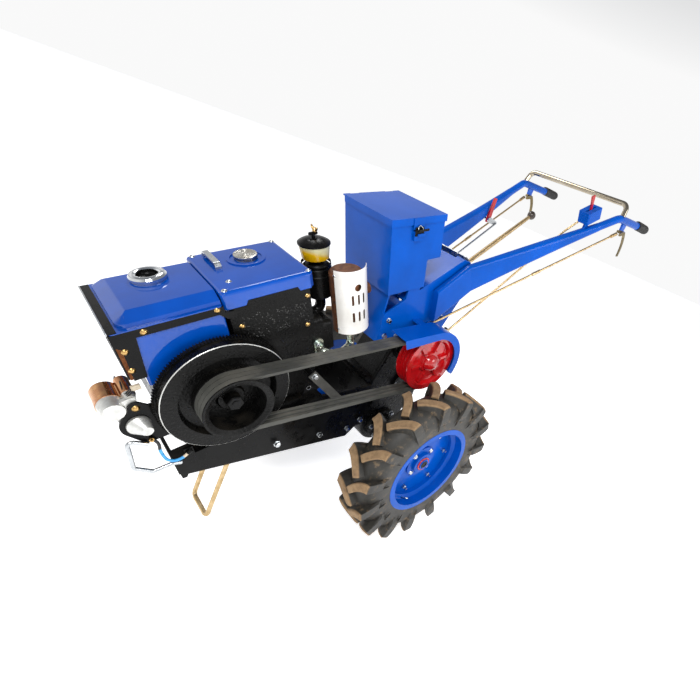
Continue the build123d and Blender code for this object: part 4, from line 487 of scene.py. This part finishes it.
def repeated(points, faces, places):
    """One shape (points, faces) copied to places, an array of 4 by 4 matrices, as whole arrays."""
    points, faces, places = np.asarray(points, float), np.asarray(faces), np.asarray(places)
    all_points = np.einsum("kij,nj->kni", places[:, :3, :3], points) + places[:, None, :3, 3]
    shifts = (np.arange(len(places)) * len(points))[:, None, None]
    return all_points.reshape(-1, 3), (faces[None] + shifts).reshape(-1, faces.shape[1])


# the hopper's side plate is stippled: low round pimples 2 to 4 mm across, scattered over its middle. Their
# grey is a painted glint for the light they catch, since the casting round them is black
rng = np.random.default_rng(7)
PIMPLES = 170
spots = engine(rng.uniform(84, 246, PIMPLES), -104.2, rng.uniform(104, 172, PIMPLES))
radii = rng.uniform(1.0, 2.1, PIMPLES) / 1000
turn = np.arange(6) * np.pi / 3
foot = np.stack([np.cos(turn), np.full(6, 0.4), np.sin(turn)], 1)
crown = np.stack([0.6 * np.cos(turn), np.full(6, -0.3), 0.6 * np.sin(turn)], 1)
pimple = np.vstack([foot, crown, [[0.0, -0.55, 0.0], [0.0, -0.55, 0.0]]])
sides = [(i, i + 6, (i + 1) % 6 + 6, (i + 1) % 6) for i in range(6)]
sides += [(i + 6, 12, 13, (i + 1) % 6 + 6) for i in range(6)]
places = np.eye(4)[None] * radii[:, None, None]
places[:, :3, 3] = spots
points, faces = repeated(pimple, sides, places)
stipple = solid("hopper_stipple", points, faces, smooth=True)
# the pimples' grey tone is a painted glint; the casting itself is black
stipple_painted_glint = finish("black_stipple_painted_glint", "1c1c1c", "3a3a38", 0.16, grain=2.0, depth=0.01,
                  mottle=12)
fit("machine", stipple_painted_glint, stipple)
# timing cover on the right: fourteen bolts, the bush for the starting crank, and the oil filler
COVER_FACE = 119.0
lap = np.radians(np.arange(12) * 30 + 15)
x = np.where(np.cos(lap) > 0, 84, 0) + 67 * np.cos(lap)
z = np.where(np.cos(lap) > 0, -14, -20) + 67 * np.sin(lap)
around = bolts("timing_cover_bolts", engine(np.append(x, (42, 42)), COVER_FACE, np.append(z, (50, -84))),
               (0, 1, 0), 10)
sleeve = [(0, -3), (23, -3), (23, 8), (20, 11), (14, 11), (13, 9), (13, 2), (0, 2)]
bush = lathe("crank_bush", sleeve, engine(0, COVER_FACE, 0), (0, 1, 0), 40)
stopper = [(0, -3), (15, -3), (15, 7), (19, 7), (20, 9), (20, 17), (18, 20), (9, 20), (8, 24), (0, 24)]
filler = lathe("oil_filler_plug", stopper, engine(92, COVER_FACE, 6), (0, 1, 0), 32)
black_rubber = finish("moulded_black_rubber", "141414", "1f1e1d", 0.6, grain=1.2, depth=0.08,
                      mottle=30)
fit("machine", silver_zinc, around)
fit("machine", black_enamel, bush)
fit("machine", black_rubber, filler)
x, z = np.array([[-112, -50], [-60, -140], [60, -146], [150, -130]]).T
low_screws = bolts("block_screws", engine(x, -75, z), (0, -1, 0), 13)
fit("machine", silver_zinc, low_screws)

# ------------------------------------------------------------------ radiator
# Brass tubes and copper fins in a soldered core. The fins are 2 mm apart, drawn 3 mm apart so that they show,
# and heat has browned them. The shroud round it and the crowned cover are pressed sheet in deep blue.
copper = finish("browned_copper_fins", "b0703f", "8a4c2c", 0.4, metallic=0.6, grain=1.5,
                depth=0.05, mottle=30)
FIN_GAP = 3.0
tree = copper.node_tree
skin = tree.nodes["Principled BSDF"]
turned = node(tree, "Mapping", {"Rotation": (0.0, -float(ENGINE_LEAN), 0.0)},
              {"Vector": node(tree, "TexCoord").outputs["Object"]})
fins = node(tree, "TexWave", {"bands_direction": "Z", "Scale": 2000 / 6.2832 / FIN_GAP},
            {"Vector": turned.outputs["Vector"]})
bump = node(tree, "Bump", {"Strength": 1.0, "Distance": 0.002}, {"Height": fins.outputs["Fac"]})
tree.links.new(bump.outputs["Normal"], skin.inputs["Normal"])
clad(copper, "radiator_core")
deep_blue = finish("deep_blue_stoving_enamel", "0048a8", "003c90", 0.09, grain=3.0, depth=0.03,
                   mottle=150, dust="1c50a8", dust_share=0.1, coat=0.5, wear=0.03, shine=0.25)
clad(deep_blue, "radiator_shroud", "radiator_cover")
clad(black_enamel, "radiator_grille")
clad(silver_zinc, "front_guard_rod")


def block(name, corners_low, corners_high, place, bevel):
    """Box between two corners in mm, given to a placing function, with its edges broken by a bevel in mm."""
    (x0, y0, z0), (x1, y1, z1) = corners_low, corners_high
    x, y, z = np.meshgrid((x0, x1), (y0, y1), (z0, z1), indexing="ij")
    faces = [(0, 1, 3, 2), (4, 6, 7, 5), (0, 4, 5, 1), (2, 3, 7, 6), (0, 2, 6, 4), (1, 5, 7, 3)]
    made = solid(name, place(x, y, z).reshape(-1, 3), faces)
    edge = made.modifiers.new("edge", "BEVEL")
    edge.width = bevel / 1000
    edge.segments = 2
    return made


# front lip of the cover: a folded black strip, and along its edge a thin bright zinc strip that is a painted
# highlight
lip = block("cover_lip", (-163.5, -107, 216.0), (-148, 127, 217.2), engine, 0.3)
edge = tube("cover_edge_painted_highlight", engine(-164.5, np.linspace(-107, 127, 30), 216.2), 1.8, 8)
fit("machine", black_enamel, lip)
fit("machine", silver_zinc, edge)

# filler: a chromed neck with a rolled ring round it; the black disc inside the neck is painted shade in its
# opening
chrome_plate = finish("chrome_plate", "e4e6e8", "d6d9dc", 0.09, metallic=1.0, grain=2.0,
                      depth=0.002, mottle=60, dust_share=0.1, wear=0.04)
clad(chrome_plate, "radiator_filler")
up = engine(0, 0, 1) - engine(0, 0, 0)
FILLER = (-45, 46)
shade_disc_profile = [(0, -5), (18, -5), (19.5, 0), (19.8, 6)]
painted_shade_disc = lathe("filler_opening_painted_shade", shade_disc_profile, engine(*FILLER, 248), up, 40)
fit("machine", black_enamel, painted_shade_disc)
rolled = [(22, 13.8), (24, 15.4), (27, 15.8), (30, 15.0), (32, 13.8)]
beads = lathe("filler_ring", rolled, engine(*FILLER, 240), up, 48)
fit("machine", chrome_plate, beads)

# ------------------------------------------------------------------ fuel tank
# Two pressed steel shells in the cover's deep blue enamel, held on the hopper by dome screws at the corners,
# with a bent handle on top. The cap is die-cast zinc faced on a lathe, so that fine rings show on it.
clad(deep_blue, "fuel_tank")
spiral = finish("faced_zinc_casting", "cfccc4", "a39e94", 0.26, metallic=1.0, grain=2.0, depth=0.01,
                mottle=25)
tree = spiral.node_tree
skin = tree.nodes["Principled BSDF"]
cap_at = engine(169, 44, 250)
moved = node(tree, "Mapping", {"vector_type": "TEXTURE", "Location": tuple(cap_at.tolist()),
                               "Rotation": (0.0, -float(ENGINE_LEAN), 0.0)},
             {"Vector": node(tree, "TexCoord").outputs["Object"]})
rings = node(tree, "TexWave", {"wave_type": "RINGS", "rings_direction": "Z", "Scale": 95.0},
             {"Vector": moved.outputs["Vector"]})
bump = node(tree, "Bump", {"Strength": 1.0, "Distance": 0.0012}, {"Height": rings.outputs["Fac"]})
tree.links.new(bump.outputs["Normal"], skin.inputs["Normal"])
clad(spiral, "fuel_cap")
x, y = np.array([64, 266, 266, 66, 88]), np.array([-92, -92, 112, 112, -55])
tank_screws = bolts("tank_screws", engine(x, y, 242.0), up, 11, dome=True)
fit("machine", silver_zinc, tank_screws)
clad(silver_zinc, "tank_handle")

# ------------------------------------------------------------------ air cleaner
# Oil-bath canister in black enamel. On it is a moulded glass pre-cleaner bowl, yellowed by the oil in its
# lower part, under a pressed black lid that one wing nut holds. A black elbow leads from it to the head.
bowl, tree, skin = blank("oil_stained_glass")
where = node(tree, "TexCoord")
low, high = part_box("precleaner_bowl")
height = node(tree, "SeparateXYZ", None, {"Vector": where.outputs["Object"]})
level = node(tree, "MapRange", {"From Min": low.z, "From Max": high.z}, {"Value": height.outputs["Z"]})
oil = node(tree, "ValToRGB", {"stops": [(0.0, srgb("d89a00")), (0.4, srgb("f2c010")), (0.55, srgb("ded6a4")),
                                        (1.0, srgb("d4d6c4"))]}, {"Fac": level.outputs["Result"]})
smear = node(tree, "TexNoise", {"Scale": 70.0, "Detail": 4.0}, {"Vector": where.outputs["Object"]})
stained = node(tree, "MixRGB", {"Fac": 0.15, "blend_type": "MULTIPLY"},
               {"Color1": oil.outputs["Color"], "Color2": smear.outputs["Color"]})
tree.links.new(stained.outputs["Color"], skin.inputs["Base Color"])
skin.inputs["Roughness"].default_value = 0.08
skin.inputs["Transmission Weight"].default_value = 0.35
skin.inputs["IOR"].default_value = 1.5
clad(bowl, "precleaner_bowl")
clad(black_enamel, "air_cleaner", "precleaner_lid", "intake_elbow")
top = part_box("precleaner_lid")[1]
centre = (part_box("precleaner_lid")[0] + top) / 2
peak = np.array([centre.x - 0.004, centre.y, top.z - 0.004])
nut = lathe("wing_nut_hub", [(0, 0), (6.5, 0), (6, 8), (4.2, 9), (4, 14), (0, 14.5)], peak, up, 20)
t = np.linspace(0, 1, 12)
ears = []
for hand, way in (("a", 1), ("b", -1)):
    curve = peak + up * (6 + 12 * t**1.3)[:, None] + np.array([0, 0.001, 0]) * (way * (5 + 11 * t))[:, None]
    ears.append(tube(f"wing_nut_ear_{hand}", curve, 1.4 + 2.2 * np.sin(np.pi * t) ** 0.7, 8))
fit("machine", brass_screw, nut, *ears)
# clips round the canister: rolled strips 10 mm wide, painted black with it
CANISTER = (356, 42)
strap = [(40.5, -5), (41.7, -5), (42.1, 0), (41.7, 5), (40.5, 5)]
for number, height in enumerate((150.0, 188.0)):
    strip = lathe(f"canister_clip_{number}", strap, engine(*CANISTER, height), up, 48)
    fit("machine", black_enamel, strip)

# ------------------------------------------------------------------ muffler and heat shield
# Pressed steel muffler, rusted where it runs hot, behind a slotted shield in white heatproof enamel.
# The steel pipe, tinted by the heat, comes from a two-stud flange on the head.
rust = finish("heat_rusted_sheet", "4a2c1c", "7a4a2c", 0.75, metallic=0.3, grain=2.0,
              depth=0.3, mottle=14, dust_share=0.2)
clad(rust, "muffler")
white = finish("white_heatproof_enamel", "eceae6", "dcd8d0", 0.3, grain=2.5, depth=0.05,
               mottle=80, dust="b8ae9c", dust_share=0.3, coat=0.2, wear=0.06)
clad(white, "heat_shield")
tinted = finish("heat_tinted_steel", "a4b4ac", "bdb8a4", 0.22, metallic=0.9, grain=2.0, depth=0.01,
                mottle=20)
clad(tinted, "exhaust_pipe")
flange = bolts("flange_nuts", engine(275, -70, np.array([-37, -3])), (0, -1, 0), 12, stud=5)
fit("machine", silver_zinc, flange)
# one small screw near each corner of the shield
MUFFLER_X, MUFFLER_Y, SHIELD = 399, -47, 57.2   # the last is the radius of the shield's outside
turn = np.radians([205, 205, 335, 335])
height = np.array([24, 196, 24, 196])
seats = engine(MUFFLER_X + SHIELD * np.cos(turn), MUFFLER_Y + SHIELD * np.sin(turn), height)
outwards = engine(np.cos(turn), np.sin(turn), 0) - engine(0, 0, 0)
screws = bolts("shield_screws", seats, outwards, 7, dome=True)
fit("machine", silver_zinc, screws)

# ------------------------------------------------------------------ starter
# Starter motor in a yellow-chromated steel shell, with a cast aluminium drive end, bolted to a black bracket.
# Its terminal takes the lead, whose first quarter is in a black sleeve and the rest in blue insulation.
gold = finish("iridescent_yellow_chromate", "d0a070", "b87a54", 0.2, metallic=1.0, grain=2.0,
              depth=0.004, mottle=22)
clad(gold, "starter_motor")
clad(black_enamel, "starter_bracket")
cast_aluminium = finish("cast_aluminium", "dededa", "c2c2be", 0.38, metallic=0.7, grain=1.6,
                        depth=0.04, mottle=20)
clad(cast_aluminium, "starter_drive")
lead, tree, skin = blank("lead_insulation")
where = node(tree, "TexCoord")
start, end = engine(-174.6, -120.0, -62.0), engine(-124.9, -121.5, -148.7)
far = []
for place in (start, end):
    gap = node(tree, "VectorMath", {"operation": "DISTANCE"}, {"Vector": where.outputs["Object"]})
    gap.inputs[1].default_value = tuple(place.tolist())
    far.append(gap.outputs["Value"])
sleeve = node(tree, "MapRange", {"From Min": 0.034, "From Max": 0.036, "To Max": 1.0}, {"Value": far[0]})
bare = node(tree, "MapRange", {"From Min": 0.011, "From Max": 0.012, "To Min": 1.0, "To Max": 0.0},
            {"Value": far[1]})
soil = node(tree, "TexNoise", {"Scale": 120.0, "Detail": 3.0}, {"Vector": where.outputs["Object"]})
blue = node(tree, "ValToRGB", {"stops": [(0.3, srgb("2f8fd0")), (0.7, srgb("4ba6e2"))]},
            {"Fac": soil.outputs["Fac"]})
body = node(tree, "MixRGB", {"Color1": srgb("141414")},
            {"Fac": sleeve.outputs["Result"], "Color2": blue.outputs["Color"]})
tip = node(tree, "MixRGB", {"Color2": srgb("c9b8a0")},
           {"Fac": bare.outputs["Result"], "Color1": body.outputs["Color"]})
tree.links.new(tip.outputs["Color"], skin.inputs["Base Color"])
skin.inputs["Roughness"].default_value = 0.42
clad(lead, "starter_lead")
nut = bolts("terminal_nut", engine(-177, -120, -58), (0, -1, 0), 10, stud=5)
fit("machine", brass_screw, nut)
# solenoid posts, with three thin wires in a moulded connector
for number, (x, z) in enumerate(((-184, 58), (-171, 48))):
    post = bolts(f"solenoid_post_{number}", engine(x, -22, z), (0, 1, 0), 8, stud=6)
    fit("machine", silver_zinc, post)
plug = block("wire_connector", (-168, -98, 66), (-150, -90, 78), engine, 1.0)
nylon = finish("natural_nylon", "d8cbb4", "c4b59c", 0.45, grain=1.5, depth=0.03, mottle=20)
fit("machine", nylon, plug)


def smooth_line(points, count=30):
    """A smooth curve through the points: each piece is a cubic blend of its four nearest points."""
    p = np.asarray(points, float)
    p = np.vstack([2 * p[0] - p[1], p, 2 * p[-1] - p[-2]])
    t = np.linspace(0, len(p) - 3 - 1e-9, count)
    i = t.astype(int)
    f = (t - i)[:, None]
    a, b, c, d = p[i], p[i + 1], p[i + 2], p[i + 3]
    return 0.5 * (2 * b + (c - a) * f + (2 * a - 5 * b + 4 * c - d) * f**2 + (3 * b - a - 3 * c + d) * f**3)


for number, shift in enumerate((-4.0, 0.0, 4.0)):
    route = [[-166, -94, 70], [-176, -98, 66], [-182, -92, 60], [-180, -60, 66], [-176, -26, 54]]
    x, y, z = np.array(route).T
    wire = tube(f"starter_wire_{number}", smooth_line(engine(x, y + shift, z + shift / 2)), 1.3, 8)
    fit("machine", black_rubber, wire)

# ------------------------------------------------------------------ flywheel and belt drive
# Cast flywheel with a shrunk-on ring gear, whose 132 teeth are 7 mm apart. Three B-section belts of rubber in
# cloth run from the black engine pulley to the red clutch pulley under its blue guard.
clad(cast_black, "flywheel", "crank_pulley")
TEETH = 132
ROOT_RADIUS = 149.6
turn = np.arange(TEETH) * 2 * np.pi / TEETH
root = [(-1.9, 0, 0), (1.9, 0, 0), (1.9, 11, 0), (-1.9, 11, 0)]
tip = [(-0.9, 0, 4.2), (0.9, 0, 4.2), (0.9, 11, 4.2), (-0.9, 11, 4.2)]
sides = [(4, 5, 6, 7), (0, 1, 5, 4), (3, 7, 6, 2), (0, 4, 7, 3), (1, 2, 6, 5), (0, 3, 2, 1)]
places = np.tile(np.eye(4), (TEETH, 1, 1))
places[:, 0, 0], places[:, 0, 2] = np.cos(turn), np.sin(turn)
places[:, 2, 0], places[:, 2, 2] = -np.sin(turn), np.cos(turn)
x, z = ROOT_RADIUS * np.sin(turn) + CRANK_X, ROOT_RADIUS * np.cos(turn) + CRANK_Z
places[:, :3, 3] = machine(x, -130.5, z)
points, faces = repeated(np.array(root + tip) / 1000, sides, places)
teeth = solid("ring_gear_teeth", points, faces)
fit("engine_rotor", black_enamel, teeth)
# painted highlight on the flywheel's rim: a bright ring 1 mm wide in the cast aluminium finish, which stands
# for the light caught on the edge
corner = [(145.5, -0.8), (145.8, -0.9), (146.9, -2.2), (147.1, -2.7)]
rim_highlight = lathe("flywheel_rim_painted_highlight", corner, machine(CRANK_X, -155, CRANK_Z), (0, -1, 0), 128)
fit("engine_rotor", cast_aluminium, rim_highlight)
nut = bolts("crank_nut", machine(CRANK_X, -160, CRANK_Z), (0, -1, 0), 36, stud=4)
fit("engine_rotor", black_enamel, nut)
# cloth of the belts: threads 1.2 mm apart, drawn as a 2.5 mm grain; scuffed grey where it has run
cloth = finish("rubber_belt_cloth", "3c3c38", "4a4a45", 0.6, grain=2.5, depth=0.12, mottle=90,
               dust="7a7468", dust_share=0.4)
clad(cloth, "v_belts")
clad(red_enamel, "clutch_pulley", "clutch_hub")
turn = np.radians(np.arange(6) * 60 + 15)
x, z = 12 + 46 * np.cos(turn), 632 + 46 * np.sin(turn)          # on a circle round the clutch shaft
rim = bolts("pulley_screws", machine(x, -199, z), (0, -1, 0), 10, stud=5)
fit("clutch_rotor", red_enamel, rim)
clad(blue_enamel, "belt_guard")
# flat steel stay from the block to the frame, between the two belt runs, with a screw and spacer at each end
ends = np.array([[-384.0, 586.0], [-236.0, 451.0]])
along = (ends[1] - ends[0]) / np.linalg.norm(ends[1] - ends[0])
across = np.array([-along[1], along[0]]) * 13
x, z = np.array([ends[0] + across, ends[0] - across, ends[1] - across, ends[1] + across]).T
faces = [(0, 1, 2, 3), (4, 7, 6, 5), (0, 4, 5, 1), (1, 5, 6, 2), (2, 6, 7, 3), (3, 7, 4, 0)]
stay = solid("engine_stay", np.concatenate([machine(x, -136.0, z), machine(x, -131.0, z)]), faces)
edge = stay.modifiers.new("edge", "BEVEL")
edge.width = 0.0008
edge.segments = 2
grey_steel = finish("mill_scale_steel", "4a4a47", "5c5b56", 0.5, metallic=0.5, grain=2.0, depth=0.03,
                    mottle=30)
fit("machine", grey_steel, stay)
heads = bolts("stay_screws", machine(np.array([-374, -246]), -136.0, np.array([577, 460])), (0, -1, 0), 13)
fit("machine", silver_zinc, heads)
for number, (x, z) in enumerate(((-374.0, 577.0), (-246.0, 460.0))):
    spacer = tube(f"stay_spacer_{number}", machine(x, np.array([-131.0, -104.0, -72.0]), z), 8.0, 20)
    fit("machine", black_enamel, spacer)

# ------------------------------------------------------------------ toolbox
# Folded sheet, spot welded and dipped in blue enamel, with a pin hinge on the right and a black over-centre
# catch on the left. It leans back with the handle frame that it is bolted to.
clad(blue_enamel, "toolbox", "toolbox_lid")
BOX_LEAN = np.radians(16.0)


def toolbox(x, y, z):
    """Millimetres in the toolbox's own level axes, which lean back 16 degrees about the axle."""
    x, y, z = np.broadcast_arrays(*(np.asarray(q, float) for q in (x, y, z)))
    c, s = np.cos(BOX_LEAN), np.sin(BOX_LEAN)
    return machine(x * c - z * s, y, x * s + z * c + AXLE_HEIGHT)


catch = block("catch_plate", (52, -127.4, 738), (84, -125.1, 764), toolbox, 1.0)
lever = block("catch_lever", (58, -135.0, 752), (98, -130.5, 759), toolbox, 1.6)
bend = [[60, -133, 752], [60, -129, 762], [68, -126.5, 768], [76, -129, 762], [76, -133, 752]]
loop = tube("catch_loop", smooth_line(toolbox(*np.array(bend).T)), 1.1, 8)
fit("machine", black_enamel, catch, lever)
fit("machine", silver_zinc, loop)

# ------------------------------------------------------------------ handlebars and controls
# Bent steel tubes in blue enamel, bolted to the handle frame, with moulded rubber grips pushed on. The gear
# lever, pull rods and front stand are mild steel, zinc plated and passivated yellow.
clad(blue_enamel, "handle_frame", "handlebar_left", "handlebar_right", "throttle_box")
clad(silver_zinc, "shift_gate", "clutch_link")
clad(red_enamel, "clutch_lever", "throttle_lever")
yellow_zinc = finish("yellow_chromated_zinc", "d2b88e", "b2986c", 0.4, metallic=1.0, grain=2.0,
                     depth=0.004, mottle=18)
clad(yellow_zinc, "front_stand", "gear_lever", "steering_rod_left", "steering_rod_right", "throttle_rod")
clad(black_rubber, "grip_left", "grip_right")
for side, hand in ((-1, "left"), (1, "right")):
    x, z = np.array([[-140, 690], [-140, 745], [-90, 690], [96, 760], [150, 900], [110, 860]]).T
    frame_screws = bolts(f"side_plate_screws_{hand}", machine(x, side * 111, z), (0, side, 0), 13)
    pins = bolts(f"rod_pins_{hand}", machine(40.0, side * 117, 734.0), (0, side, 0), 13, stud=4)
    fit("machine", silver_zinc, frame_screws, pins)
    # moulded rings round the grip, every 8 mm, by a cosine along it
    ring_gap = 0.008
    low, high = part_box(f"grip_{hand}")
    x = np.linspace(low.x + 0.006, high.x - 0.012, 120)
    middle = (low + high) / 2
    swell = 19.4 + 1.1 * np.cos((x - low.x) * 2 * np.pi / ring_gap)
    line = np.stack([x, np.full_like(x, middle.y), np.full_like(x, middle.z)], 1)
    cover = tube(f"grip_ribs_{hand}", line, swell, 28)
    fit("machine", black_rubber, cover)
# crossbar: thin chrome over a drawn tube, dulled and warm; it mirrors the floor
dull_chrome = finish("dulled_chrome_tube", "b8ae9c", "a0947e", 0.14, metallic=1.0, grain=2.0,
                     depth=0.003, mottle=60, dust_share=0.1, wear=0.04)
clad(dull_chrome, "crossbar")
# steering levers: zinc-plated and browned by hands below, under a bracket painted with the bars
hand_worn = finish("hand_worn_zinc_under_blue_bracket", "94845f", "6e6248", 0.38, metallic=1.0,
                   grain=2.0, depth=0.01, mottle=14)
tree = hand_worn.node_tree
skin = tree.nodes["Principled BSDF"]
height = node(tree, "SeparateXYZ", None, {"Vector": node(tree, "TexCoord").outputs["Object"]})
FOOT = 1.263                                    # height of the bracket's lower edge
bracket = node(tree, "MapRange", {"From Min": FOOT - 0.001, "From Max": FOOT + 0.001},
               {"Value": height.outputs["Z"]})
bare = skin.inputs["Base Color"].links[0].from_socket
painted = node(tree, "MixRGB", {"Color2": srgb("0050b4")},
               {"Fac": bracket.outputs["Result"], "Color1": bare})
tree.links.new(painted.outputs["Color"], skin.inputs["Base Color"])
metal = node(tree, "MapRange", {"To Min": 1.0, "To Max": 0.0}, {"Value": bracket.outputs["Result"]})
tree.links.new(metal.outputs["Result"], skin.inputs["Metallic"])
clad(hand_worn, "steering_lever_left", "steering_lever_right")
# gear knob: a moulded phenolic ball over the lever's end
KNOB_RADIUS = 17.4
bakelite = finish("brown_black_phenolic", "2a2521", "4a4138", 0.18, grain=2.0, depth=0.01,
                  mottle=20)
lift = np.linspace(0, np.pi, 19)
ball = KNOB_RADIUS * np.stack([np.sin(lift), -np.cos(lift)], 1)
knob = lathe("gear_knob", ball, machine(566, 0, 1183), (0.42, 0, 0.9), 36)
fit("machine", bakelite, knob)
